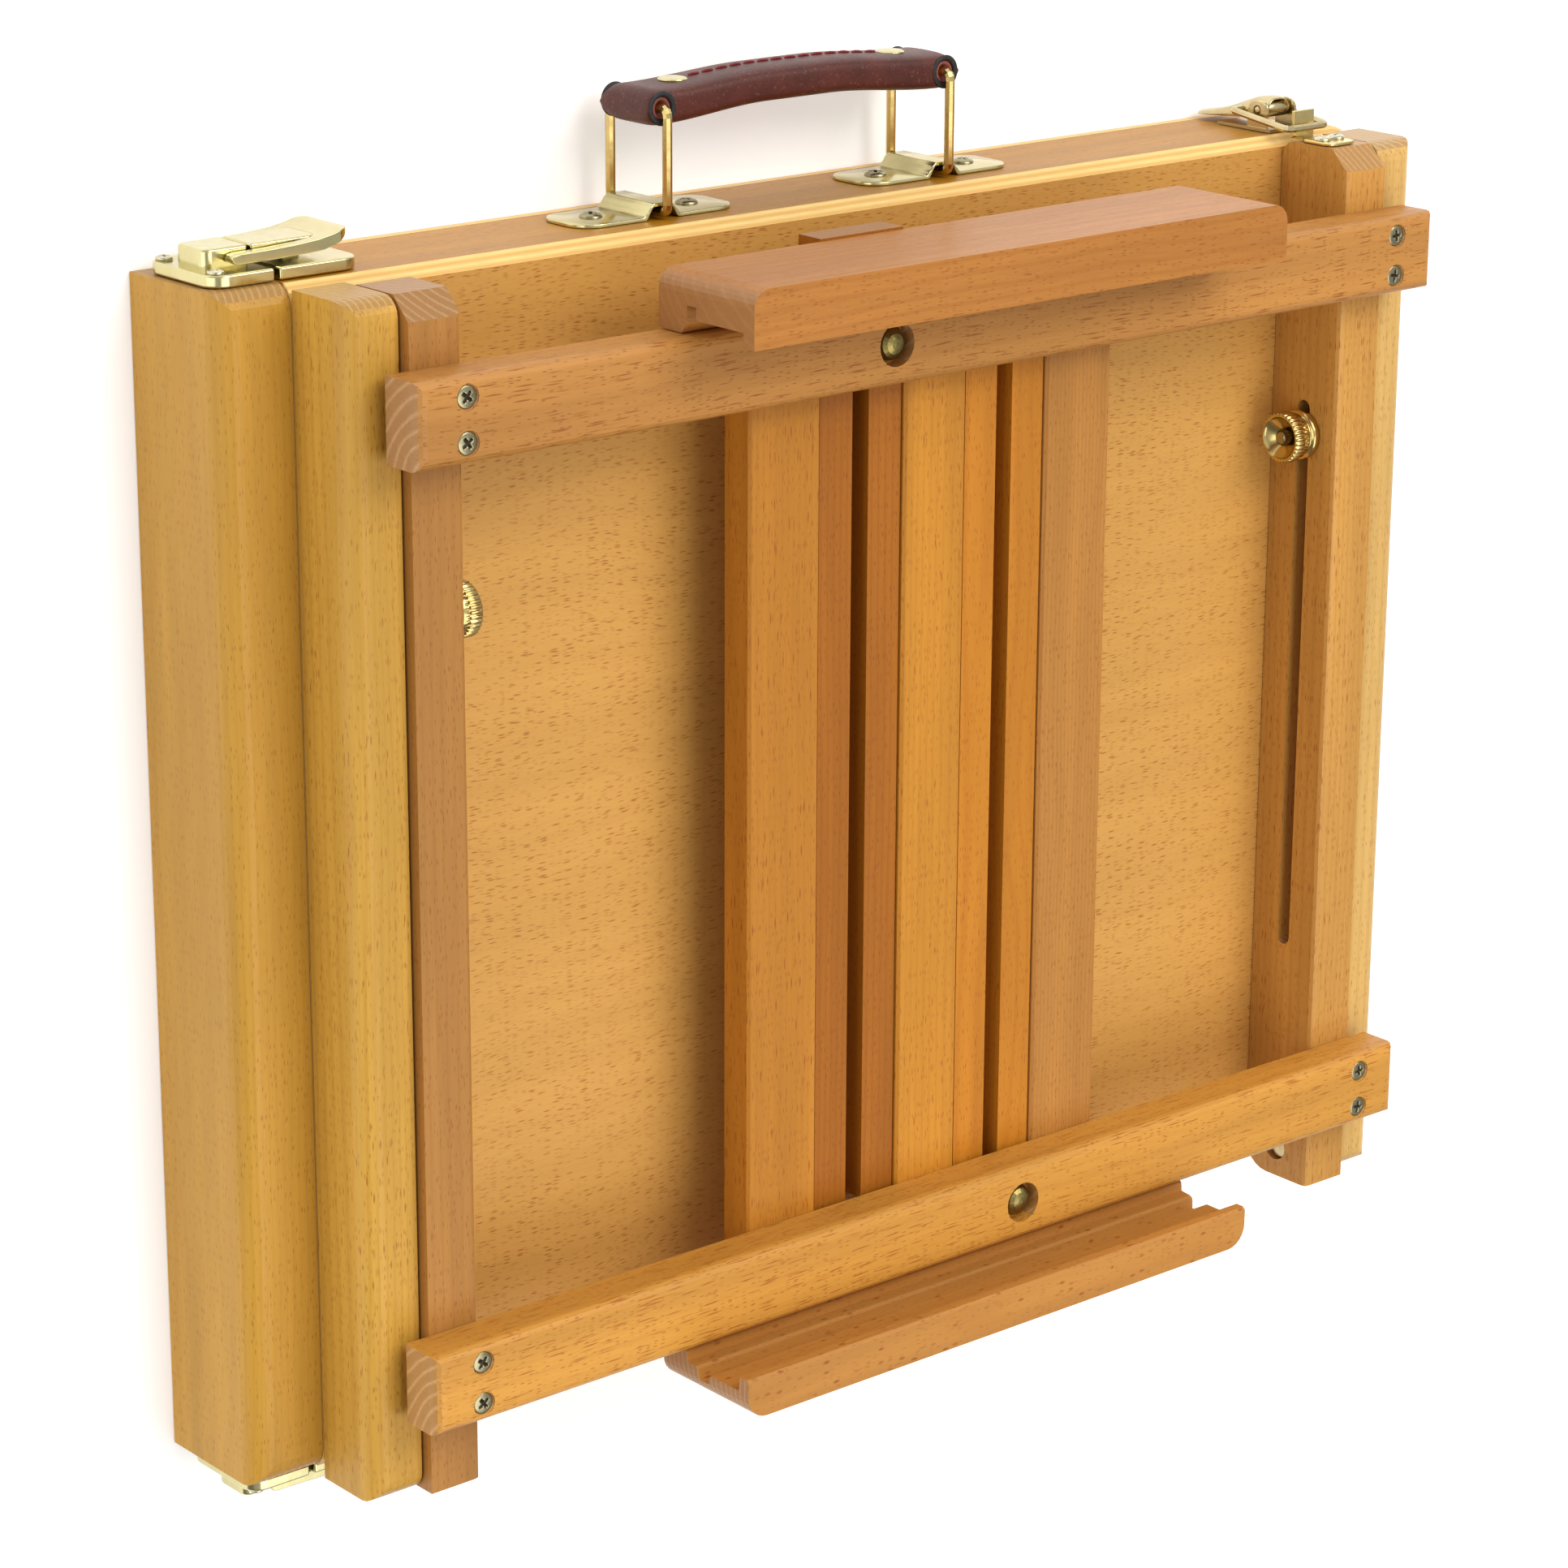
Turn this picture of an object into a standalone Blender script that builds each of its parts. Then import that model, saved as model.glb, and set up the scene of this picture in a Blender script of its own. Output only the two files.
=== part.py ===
"""Table-top French box easel: case, full-size drawer, tilting canvas frame, latches and handle.

Lengths and places are in millimetres; MM turns them into Blender's metres where a solid is made.
The easel lies on its back, as it does on a table. The origin is the centre of the case's back face,
+X points to the fixed end (the drawer opens to -X), +Y to the handle side and +Z out of the lid.
"""
import math

import bmesh
import bpy
from mathutils import Matrix, Vector

MM = 0.001
GAP = 0.3                       # air between pieces that touch

# Case
CASE_X = 246.5                  # half length
CASE_Y = 207.5                  # half width
CASE_Z = 51.4                   # height, back face to lid face
BOARD = 14.0                    # thickness of the side and end boards
BACK_PANEL = 4.0
LID_PANEL = 5.0
LID_CHAMFER = 4.0
CORNER = 12.0                   # radius of the fixed end's corners
PALETTE = 4.5
PALETTE_REBATE = 4.0

# Drawer
FRONT_THICK = 27.7
FRONT_ROUND = 8.0
DRAWER_SIDE = 8.0
DRAWER_BOTTOM = 3.0
DRAWER_DEEP = 474.5             # from the front board's back to the far end
DIVIDER = 5.0
LANE_Y, DIVIDER_X = 40.0, -12.0 # low faces of the long and the cross divider

# Side rails, fixed on the lid, and the frame arms beside them
RAIL_IN, RAIL_OUT = 226.3, 246.5
RAIL_TOP = 81.1
ARM_IN, ARM_OUT = 204.6, 225.3
ARM_TOP = 85.3
STRIP_LOW, STRIP_HIGH = -210.6, 206.0
STRIP_BACK = CASE_Z + GAP

# Tilt linkage: hinge, strut pivot and lock stud lie on one line, the strut at half the distance
HINGE_Y, HINGE_Z = -198.5, 68.0
STRUT_LONG = 146.85
STRUT_Y = HINGE_Y + STRUT_LONG
STUD_Y = HINGE_Y + 2 * STRUT_LONG
STRUT_HALF = 5.5
STRUT_IN, STRUT_OUT = 223.3, 225.3
PIN_R = 2.5
HOLE_R = 2.9
SLOT_HALF = 3.2
SLOT_LOW, SLOT_HIGH = -112.0, 108.4
RECESS_LOW, RECESS_HIGH = -116.0, 105.0

# Cross rails of the canvas frame
CROSS_X = 235.0
CROSS_BACK, CROSS_TOP = ARM_TOP + GAP, 102.6
CROSS_HALF = 14.6
CROSS_Y = {"upper": 168.0, "lower": -166.0}
SCREW_X = 215.0
SCREW_OFF = 7.55

# Mast
MAST_BACK, MAST_TOP = 72.0, 85.3
MAST_END = 180.0
GUIDE_HALF = 14.4
BAR_IN, BAR_OUT = 15.2, 52.4
BAR_TOP = 83.8
STILE_IN, STILE_OUT = 53.0, 84.8
BAR_MID = 33.8
BAR_SLOT_HALF = 3.75

# Canvas clamp and tray, both long in X
CLAMP_HALF = 123.0
CLAMP_LOW = 183.0
TRAY_HALF = 122.5
TRAY_LOW = -197.5
HOLDER_BACK = BAR_TOP + GAP     # back face of clamp and tray

# Handle
HANDLE_MID = -19.6
LOOP_OFF = 64.5                 # each loop from the handle's middle
HANDLE_Z = 24.4
LOOP_HALF = 15.75
WIRE_R = 1.75
LOOP_LOW, LOOP_HIGH = 209.9, 245.5

# Latches on the drawer end, one on each long board
LATCH_Z = 25.0
LATCH_PIN_X, LATCH_PIN_H = -258.0, 7.6
LATCH_PLATE = 4.2
LATCH_HALF, LEVER_HALF = 19.5, 14.0
LATCH_END_X, STRIKE_END_X = -272.0, -213.6
BLOCK_X, BLOCK_HALF, BLOCK_TOP = (-267.6, -250.5), 8.5, 11.0
TONGUE_X, WINDOW_HALF, WINDOW_END = (-249.6, -223.0), 9.0, -224.5
NUB_X, NUB_HALF, NUB_TOP = (-236.0, -228.0), 5.0, 6.2

# Toggle latch between the handle-side board and the right arm
TOGGLE_X = 212.5
TOGGLE_Z, TOGGLE_H = 38.0, 8.0  # lever pivot
BAIL_Z, BAIL_H = 27.0, 7.0      # bail pivot on the lever
BAIL_R = 1.4
BAIL_HALF, BAIL_TAIL = 10.6, 3.2
BASE_HALF, EAR_X, EAR_HALF = 9.0, 7.6, 0.6
LEVER_SIDE, TOGGLE_PIN_HALF = 5.9, 8.4
CATCH_HALF, CATCH_TOP, CATCH_SCREW_X, CATCH_SCREW_Z = 7.4, 76.0, 3.9, 68.0
FLANGE_LOW, FLANGE_HIGH = 53.4, 54.8

# Base colour, roughness and metallic of each material
FINISHES = {
    "beech": ((0.78, 0.52, 0.26), 0.4, 0.0),
    "beech_rose": ((0.70, 0.42, 0.22), 0.4, 0.0),
    "beech_amber": ((0.72, 0.42, 0.16), 0.4, 0.0),
    "beech_ply": ((0.80, 0.50, 0.20), 0.4, 0.0),
    "brass_bright": ((0.83, 0.76, 0.48), 0.2, 1.0),
    "brass_gold": ((0.78, 0.55, 0.22), 0.25, 1.0),
    "brass_antique": ((0.50, 0.43, 0.27), 0.35, 1.0),
    "steel_zinc": ((0.55, 0.56, 0.57), 0.35, 1.0),
    "leather": ((0.20, 0.05, 0.045), 0.45, 0.0),
}

# Turn a flat outline's (u, v, normal) into (Y, Z, X), or leave it as (X, Y, Z)
FACE_X = Matrix(((0, 0, 1), (1, 0, 0), (0, 1, 0))).to_4x4()
FACE_Z = Matrix.Identity(4)


# ---------------------------------------------------------------- helpers

def clear_scene():
    for obj in list(bpy.data.objects):
        bpy.data.objects.remove(obj, do_unlink=True)


def new_collection(name):
    collection = bpy.data.collections.new(name)
    bpy.context.scene.collection.children.link(collection)
    return collection


def make_materials():
    made = {}
    for name, (color, roughness, metallic) in FINISHES.items():
        material = bpy.data.materials.new(name)
        material.use_nodes = True
        shader = material.node_tree.nodes["Principled BSDF"]
        shader.inputs["Base Color"].default_value = (*color, 1.0)
        shader.inputs["Roughness"].default_value = roughness
        shader.inputs["Metallic"].default_value = metallic
        made[name] = material
    return made


def finish_mesh(name, bm, material):
    """Store bm, which is in millimetres, as an object. With no material it is a cutter or a guide."""
    bmesh.ops.recalc_face_normals(bm, faces=bm.faces)
    bmesh.ops.scale(bm, vec=(MM, MM, MM), verts=bm.verts)
    mesh = bpy.data.meshes.new(name)
    bm.to_mesh(mesh)
    bm.free()
    mesh.shade_smooth()
    mesh.set_sharp_from_angle(angle=math.radians(32))
    obj = bpy.data.objects.new(name, mesh)
    if material:
        mesh.materials.append(MATERIALS[material])
        PARTS.objects.link(obj)
    else:
        CUTTERS.objects.link(obj)
        obj.display_type = "WIRE"
        obj.hide_render = True
    return obj


def on(x=None, y=None, z=None):
    """Pick the edges whose two ends both have the coordinates given."""
    def pick(a, b):
        wanted = ((0, x), (1, y), (2, z))
        return all(value is None or (abs(a[i] - value) < 1e-3 and abs(b[i] - value) < 1e-3)
                   for i, value in wanted)
    return pick


def round_edges(bm, radius, segments, *picks):
    edges = [e for e in bm.edges
             if any(pick(e.verts[0].co, e.verts[1].co) for pick in picks)]
    bmesh.ops.bevel(bm, geom=edges, offset=radius, offset_type="OFFSET", segments=segments,
                    profile=0.5, affect="EDGES", clamp_overlap=False)


def box(name, low, high, material=None, rounds=()):
    """A block from its low to its high corner; rounds are (radius, segments, pick, ...) in turn."""
    bm = bmesh.new()
    bmesh.ops.create_cube(bm, size=1.0)
    size = [h - l for l, h in zip(low, high)]
    middle = [(h + l) / 2 for l, h in zip(low, high)]
    bmesh.ops.scale(bm, vec=size, verts=bm.verts)
    bmesh.ops.translate(bm, vec=middle, verts=bm.verts)
    for radius, segments, *picks in rounds:
        round_edges(bm, radius, segments, *picks)
    return finish_mesh(name, bm, material)


def rod(name, start, end, radius, material=None, segments=20):
    """A straight cylinder between two points."""
    start, end = Vector(start), Vector(end)
    bm = bmesh.new()
    bmesh.ops.create_cone(bm, cap_ends=True, segments=segments, radius1=radius, radius2=radius,
                          depth=(end - start).length)
    turn = (end - start).to_track_quat("Z", "Y").to_matrix().to_4x4()
    bmesh.ops.transform(bm, matrix=Matrix.Translation((start + end) / 2) @ turn, verts=bm.verts)
    return finish_mesh(name, bm, material)


def curve_to_mesh(name, curve, place, material, rounds=()):
    """Replace a curve by its own mesh, with the loose caps welded and flat faces whole again."""
    holder = bpy.data.objects.new(name + "_curve", curve)
    bpy.context.scene.collection.objects.link(holder)
    bpy.context.view_layer.update()
    evaluated = holder.evaluated_get(bpy.context.evaluated_depsgraph_get())
    mesh = bpy.data.meshes.new_from_object(evaluated)
    bm = bmesh.new()
    bm.from_mesh(mesh)
    bmesh.ops.remove_doubles(bm, verts=bm.verts, dist=1e-6)
    bmesh.ops.dissolve_limit(bm, angle_limit=math.radians(0.5), verts=bm.verts, edges=bm.edges)
    bmesh.ops.scale(bm, vec=(1 / MM, 1 / MM, 1 / MM), verts=bm.verts)
    bmesh.ops.transform(bm, matrix=place, verts=bm.verts)
    for radius, segments, *picks in rounds:
        round_edges(bm, radius, segments, *picks)
    bpy.data.objects.remove(holder)
    bpy.data.meshes.remove(mesh)
    return finish_mesh(name, bm, material)


def plate(name, points, low, high, place, material=None, rounds=()):
    """A flat outline of (u, v) points, extruded from low to high along its normal."""
    curve = bpy.data.curves.new(name, "CURVE")
    curve.dimensions = "2D"
    curve.fill_mode = "BOTH"
    curve.extrude = (high - low) / 2 * MM
    spline = curve.splines.new("POLY")
    spline.points.add(len(points) - 1)
    for point, (u, v) in zip(spline.points, points):
        point.co = (u * MM, v * MM, 0.0, 1.0)
    spline.use_cyclic_u = True
    lift = Matrix.Translation((0, 0, (low + high) / 2))
    return curve_to_mesh(name, curve, place @ lift, material, rounds)


def wire(name, points, radius, closed, material=None):
    """A round wire along the points given."""
    curve = bpy.data.curves.new(name, "CURVE")
    curve.dimensions = "3D"
    curve.bevel_depth = radius * MM
    curve.bevel_resolution = 2
    curve.use_fill_caps = not closed
    spline = curve.splines.new("POLY")
    spline.points.add(len(points) - 1)
    for point, place in zip(spline.points, points):
        point.co = (*(c * MM for c in place), 1.0)
    spline.use_cyclic_u = closed
    return curve_to_mesh(name, curve, Matrix.Identity(4), material)


def turned(name, profile, place, material=None, segments=24, ring=False):
    """Turn a profile of (radius, height), listed from the top down its outer side, about place's Z."""
    bm = bmesh.new()
    verts = [bm.verts.new((r * MM, 0.0, h * MM)) for r, h in profile]
    for a, b in zip(verts, verts[1:]):
        bm.edges.new((a, b))
    if ring:
        bm.edges.new((verts[-1], verts[0]))
    mesh = bpy.data.meshes.new(name)
    bm.to_mesh(mesh)
    bm.free()
    obj = bpy.data.objects.new(name, mesh)
    location, rotation, _ = place.decompose()
    obj.matrix_world = Matrix.LocRotScale(location * MM, rotation, None)
    screw = obj.modifiers.new("turn", "SCREW")
    screw.steps = screw.render_steps = segments
    screw.use_merge_vertices = True
    screw.merge_threshold = 1e-6
    screw.use_smooth_shade = True
    if material:
        mesh.materials.append(MATERIALS[material])
        PARTS.objects.link(obj)
    else:
        CUTTERS.objects.link(obj)
        obj.display_type = "WIRE"
        obj.hide_render = True
    return obj


def combine(obj, operation, tools):
    for tool in tools:
        modifier = obj.modifiers.new(operation.lower() + "_" + tool.name, "BOOLEAN")
        modifier.operation = operation
        modifier.solver = "EXACT"
        modifier.object = tool
    return obj


def cut(obj, *tools):
    return combine(obj, "DIFFERENCE", tools)


def join(obj, *tools):
    return combine(obj, "UNION", tools)


def arc(mid_u, mid_v, radius, start, end, steps=6):
    """Points of an arc, its angles in degrees."""
    angles = [math.radians(start + (end - start) * i / steps) for i in range(steps + 1)]
    return [(mid_u + radius * math.cos(a), mid_v + radius * math.sin(a)) for a in angles]


def stadium(low, high, mid, half, steps=6):
    """A slot's outline along u, from end to end."""
    return (arc(high - half, mid, half, -90, 90, steps)
            + arc(low + half, mid, half, 90, 270, steps))


def rounded_path(corners, radius, closed, steps=4):
    """The corners' path with each bend rounded; an open path keeps its two ends."""
    path = []
    corners = [Vector(c) for c in corners]
    count = len(corners)
    for i, corner in enumerate(corners):
        if not closed and i in (0, count - 1):
            path.append(corner)
            continue
        before = (corners[i - 1] - corner).normalized()
        after = (corners[(i + 1) % count] - corner).normalized()
        for k in range(steps + 1):
            t = k / steps
            start, end = corner + before * radius, corner + after * radius
            path.append(start * (1 - t) ** 2 + corner * 2 * t * (1 - t) + end * t ** 2)
    return path


def along_x(x, y, z, sign=1):
    """A frame at a point whose Z runs along +X or -X."""
    return Matrix.Translation((x, y, z)) @ Matrix.Rotation(math.radians(90 * sign), 4, "Y")


def hang(joint, location, *objects):
    """Parent objects and their cutters to an empty that stands on their joint's axis."""
    empty = bpy.data.objects.new(joint, None)
    empty.empty_display_size = 0.01
    PARTS.objects.link(empty)
    place = Vector(location) * MM
    empty.location = place
    for obj in objects:
        tools = [m.object for m in obj.modifiers if m.type == "BOOLEAN"]
        for piece in [obj, *tools]:
            if piece.parent is None:
                piece.parent = empty
                piece.matrix_parent_inverse = Matrix.Translation(-place)
    return empty


# ---------------------------------------------------------------- case

def make_case():
    """Two panels, two long boards and the end board; the drawer closes the other end."""
    inner = CASE_Y - BOARD
    low, high = BACK_PANEL + GAP, CASE_Z - LID_PANEL - GAP
    corners = [on(x=CASE_X, y=side * CASE_Y) for side in (-1, 1)]

    def rim(a, b):
        return on(z=CASE_Z)(a, b) and not on(x=-CASE_X)(a, b)

    box("case_lid_panel", (-CASE_X, -CASE_Y, CASE_Z - LID_PANEL), (CASE_X, CASE_Y, CASE_Z), "beech_ply",
        [(CORNER, 6, *corners), (LID_CHAMFER, 1, rim)])
    box("case_back_panel", (-CASE_X, -CASE_Y, 0), (CASE_X, CASE_Y, BACK_PANEL), "beech_ply",
        [(CORNER, 6, *corners)])
    box("case_end_board", (CASE_X - BOARD, -CASE_Y, low), (CASE_X, CASE_Y, high), "beech",
        [(CORNER, 6, *corners)])

    rebate_z = high + GAP - PALETTE - 2 * GAP
    for name, side in (("handle", 1), ("far", -1)):
        ends = sorted((side * inner, side * CASE_Y))
        board = box(f"case_{name}_side_board", (-CASE_X, ends[0], low),
                    (CASE_X - BOARD - GAP, ends[1], high), "beech")
        lips = sorted((side * (inner - 1), side * (inner + PALETTE_REBATE)))
        cut(board, box(f"cut_rebate_{name}", (-CASE_X - 5, lips[0], rebate_z), (CASE_X, lips[1], high + 5)))
    palette_y = inner + PALETTE_REBATE - GAP
    box("palette", (-CASE_X + 6, -palette_y, rebate_z + GAP),
        (CASE_X - BOARD - 2, palette_y, rebate_z + GAP + PALETTE), "beech_ply")
    return rebate_z


def make_side_rails():
    """The two rails fixed on the lid, with the blind holes for the hinge pins and strut pivots."""
    for name, side in (("left", -1), ("right", 1)):
        ends = sorted((side * RAIL_IN, side * RAIL_OUT))
        rail = box(f"side_rail_{name}", (ends[0], STRIP_LOW, STRIP_BACK), (ends[1], STRIP_HIGH, RAIL_TOP),
                   "beech",
                   [(7.0, 5, on(x=side * RAIL_OUT, z=RAIL_TOP), on(y=STRIP_LOW, z=RAIL_TOP),
                     on(y=STRIP_HIGH, z=RAIL_TOP))])
        for label, y in (("hinge", HINGE_Y), ("strut", STRUT_Y)):
            cut(rail, rod(f"cut_{label}_{name}", (side * (RAIL_IN - 1), y, HINGE_Z),
                          (side * (RAIL_IN + 15), y, HINGE_Z), HOLE_R))


# ---------------------------------------------------------------- drawer

def make_drawer(top):
    """A full-size drawer: thick front board, sides, back, bottom and two dividers."""
    start = -CASE_X
    outer = CASE_Y - BOARD - 0.8
    inner = outer - DRAWER_SIDE
    low = BACK_PANEL + 2 * GAP
    floor = low + DRAWER_BOTTOM
    end = start + DRAWER_DEEP
    face = start - GAP - FRONT_THICK
    pieces = [box("drawer_front", (face, -CASE_Y, GAP), (start - GAP, CASE_Y, CASE_Z), "beech",
                  [(FRONT_ROUND, 5, on(x=face, z=CASE_Z), on(y=-CASE_Y, z=CASE_Z), on(y=CASE_Y, z=CASE_Z))])]
    for name, side in (("handle", 1), ("far", -1)):
        ends = sorted((side * inner, side * outer))
        pieces.append(box(f"drawer_{name}_side", (start, ends[0], low), (end, ends[1], top), "beech"))
    span = inner - GAP
    pieces.append(box("drawer_back", (end - DRAWER_SIDE, -span, low), (end, span, top), "beech"))
    run = end - DRAWER_SIDE - GAP
    pieces.append(box("drawer_bottom", (start, -span, low), (run, span, floor), "beech_ply"))
    pieces.append(box("drawer_long_divider", (start, LANE_Y, floor + GAP), (run, LANE_Y + DIVIDER, top - 4),
                      "beech"))
    pieces.append(box("drawer_cross_divider", (DIVIDER_X, -span, floor + GAP),
                      (DIVIDER_X + DIVIDER, LANE_Y - GAP, top - 4), "beech"))
    return pieces


# ---------------------------------------------------------------- canvas frame

def rail_screw_cutter(name, x, y):
    """Clearance for one countersunk screw, through a cross rail and into an arm."""
    profile = [(0, CROSS_TOP + 1), (4.4, CROSS_TOP + 1), (4.4, CROSS_TOP - 0.4), (1.95, CROSS_TOP - 3.2),
               (1.95, ARM_TOP - 11.5), (0, ARM_TOP - 11.5)]
    return turned("cut_" + name, profile, Matrix.Translation((x, y, 0)), segments=16)


def make_rail_screws():
    """Eight countersunk screws, two at each end of each cross rail, and the cutters that seat them."""
    screws, seats = [], {}
    profile = [(0, CROSS_TOP - 0.2), (3.6, CROSS_TOP - 0.2), (3.9, CROSS_TOP - 0.6), (1.6, CROSS_TOP - 3.2),
               (1.6, ARM_TOP - 10.5), (0, ARM_TOP - 11.2)]
    for level, middle in CROSS_Y.items():
        for name, side in (("left", -1), ("right", 1)):
            for label, off in (("a", SCREW_OFF), ("b", -SCREW_OFF)):
                x, y = side * SCREW_X, middle + off
                screw = turned(f"rail_screw_{level}_{name}_{label}", profile, Matrix.Translation((x, y, 0)),
                               "brass_antique", 16)
                screws.append(screw)
                seats[level, name, label] = rail_screw_cutter(screw.name, x, y)
    return screws, seats


def make_arm(name, side, seats):
    """An arm with its lock slot, the strut's recess on the outer face and the hinge's counterbore."""
    ends = sorted((side * ARM_IN, side * ARM_OUT))
    arm = box(f"frame_arm_{name}", (ends[0], STRIP_LOW, STRIP_BACK), (ends[1], STRIP_HIGH, ARM_TOP),
              "beech_rose" if side < 0 else "beech",
              [(12.0, 6, on(y=STRIP_LOW, z=STRIP_BACK)), (6.0, 3, on(y=STRIP_HIGH, z=STRIP_BACK)),
               (8.0, 1, on(y=STRIP_HIGH, z=ARM_TOP)), (2.0, 2, on(x=side * ARM_IN, z=ARM_TOP))])
    through = sorted((side * (ARM_IN - 5), side * (ARM_OUT + 5)))
    slot = plate(f"cut_slot_{name}", stadium(SLOT_LOW, SLOT_HIGH, HINGE_Z, SLOT_HALF), *through, FACE_X)
    recess_x = sorted((side * (STRUT_IN - 0.5), side * (ARM_OUT + 2)))
    recess = box(f"cut_recess_{name}", (recess_x[0], RECESS_LOW, STRIP_BACK - 5),
                 (recess_x[1], RECESS_HIGH, HINGE_Z + STRUT_HALF + 1.5))
    hole = rod(f"cut_arm_hinge_{name}", (side * (ARM_IN - 3), HINGE_Y, HINGE_Z),
               (side * (ARM_OUT + 3), HINGE_Y, HINGE_Z), HOLE_R)
    bore = rod(f"cut_arm_bore_{name}", (side * (ARM_IN - 3), HINGE_Y, HINGE_Z),
               (side * (ARM_IN + 6), HINGE_Y, HINGE_Z), 5.4)
    mine = [seat for (_, end, _), seat in seats.items() if end == name]
    return cut(arm, slot, recess, hole, bore, *mine)


def make_cross_rail(level, seats):
    """A cross rail with rounded front edges, four screw seats and one counterbored bolt hole."""
    middle = CROSS_Y[level]
    low, high = middle - CROSS_HALF, middle + CROSS_HALF
    rail = box(f"cross_rail_{level}", (-CROSS_X, low, CROSS_BACK), (CROSS_X, high, CROSS_TOP), "beech_rose",
               [(4.0, 4, on(x=-CROSS_X, z=CROSS_TOP), on(x=CROSS_X, z=CROSS_TOP),
                 on(y=low, z=CROSS_TOP), on(y=high, z=CROSS_TOP))])
    x = -BAR_MID if level == "upper" else BAR_MID
    hole = rod(f"cut_bolt_{level}", (x, middle, CROSS_BACK - 3), (x, middle, CROSS_TOP + 3), 3.1)
    bore = rod(f"cut_bolt_head_{level}", (x, middle, CROSS_TOP - 6), (x, middle, CROSS_TOP + 3), 7.8)
    mine = [seat for (where, _, _), seat in seats.items() if where == level]
    return cut(rail, hole, bore, *mine)


def make_mast():
    """The three fixed boards of the mast, behind the cross rails."""
    soft = 1.0
    boards = [("mast_centre_guide", -GUIDE_HALF, GUIDE_HALF, "beech"),
              ("mast_stile_left", -STILE_OUT, -STILE_IN, "beech_amber"),
              ("mast_stile_right", STILE_IN, STILE_OUT, "beech_amber")]
    return [box(name, (low, -MAST_END, MAST_BACK), (high, MAST_END, MAST_TOP), material,
                [(soft, 1, on(x=low, z=MAST_TOP), on(x=high, z=MAST_TOP))])
            for name, low, high, material in boards]


def make_bolt(name, level):
    """A domed bolt in a cross rail; its shank passes the bar's slot to the nut behind."""
    x = -BAR_MID if level == "upper" else BAR_MID
    dome = [(6.2 * math.sin(a), CROSS_TOP - 4.4 + 4.2 * math.cos(a))
            for a in (math.radians(90 * i / 5) for i in range(6))]
    profile = dome + [(6.2, CROSS_TOP - 5.4), (2.7, CROSS_TOP - 5.4), (2.7, 58.0), (0, 58.0)]
    return turned(name, profile, Matrix.Translation((x, CROSS_Y[level], 0)), "brass_antique", 20)


def make_bolt_nut(name, level):
    x = -BAR_MID if level == "upper" else BAR_MID
    top = MAST_BACK - 0.4
    profile = [(3.0, top), (7.4, top), (8.2, top - 0.8), (8.2, top - 7.2), (7.4, top - 8), (5.0, top - 9),
               (3.0, top - 9)]
    return turned(name, profile, Matrix.Translation((x, CROSS_Y[level], 0)), "brass_gold", 24, ring=True)


def slotted_bar(name, side, low, high, slot_low, slot_high):
    """A sliding bar of the mast, with a long slot for its bolt."""
    ends = sorted((side * BAR_IN, side * BAR_OUT))
    bar = box(name, (ends[0], low, MAST_BACK), (ends[1], high, BAR_TOP), "beech_amber")
    outline = [(v, u) for u, v in stadium(slot_low, slot_high, side * BAR_MID, BAR_SLOT_HALF)]
    return cut(bar, plate("cut_" + name, outline, MAST_BACK - 5, BAR_TOP + 5, FACE_Z))


def corner_wastes(name, half, edge, radius, up):
    """Cutters that round the two ends of a holder at its outer edge; up is +1 for a top edge."""
    reach = HOLDER_BACK + 60
    tools = []
    for side in (-1, 1):
        mid_x, mid_y = side * (half - radius), edge - up * radius
        curve = [(mid_x + side * (u - mid_x), mid_y + up * (v - mid_y))
                 for u, v in arc(mid_x, mid_y, radius, 0, 90)]
        waste = [(side * (half + 2), mid_y), *curve, (mid_x, edge + up * 2), (side * (half + 2), edge + up * 2)]
        tools.append(plate(f"cut_{name}_corner_{side}", waste, HOLDER_BACK - 5, reach, FACE_Z))
    return tools


def make_clamp():
    """The canvas clamp: a long block with a rear foot, a grooved underside and a thin front lip."""
    section = [(0, 0), (12, 0), (14, 3), (14.8, 9.6), (19.6, 9.6), (19.6, 5.2), (44, 5.2), (44, 0.6),
               (45, 0), (49.5, 0), (49.5, 20), (0, 20)]
    points = [(CLAMP_LOW + h, HOLDER_BACK + z) for z, h in section]
    clamp = plate("canvas_clamp", points, -CLAMP_HALF, CLAMP_HALF, FACE_X, "beech_rose")
    cut(clamp, *corner_wastes("clamp", CLAMP_HALF, CLAMP_LOW + 20, 6.5, 1))
    return [clamp, slotted_bar("clamp_bar", -1, -165.0, 203.8, -155.0, 178.0)]


def make_tray():
    """The canvas tray: a back ledge, a step, a groove, the canvas tread and a front lip."""
    section = [(0, 0), (47.3, 0), (47.3, 14.2), (46.3, 15.2), (42.8, 15.2), (41.8, 9.8), (27, 9.8),
               (25.8, 8.8), (24.6, 6), (19.8, 6), (19.2, 9.8), (18, 10.6), (13.4, 11), (13, 14.4),
               (12, 15.2), (0, 15.2)]
    points = [(TRAY_LOW + h, HOLDER_BACK + z) for z, h in section]
    tray = plate("canvas_tray", points, -TRAY_HALF, TRAY_HALF, FACE_X, "beech")
    cut(tray, *corner_wastes("tray", TRAY_HALF, TRAY_LOW, 8.5, -1))
    return [tray, slotted_bar("tray_bar", 1, TRAY_LOW, 165.0, -176.0, 155.0)]


# ---------------------------------------------------------------- tilt linkage

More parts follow.
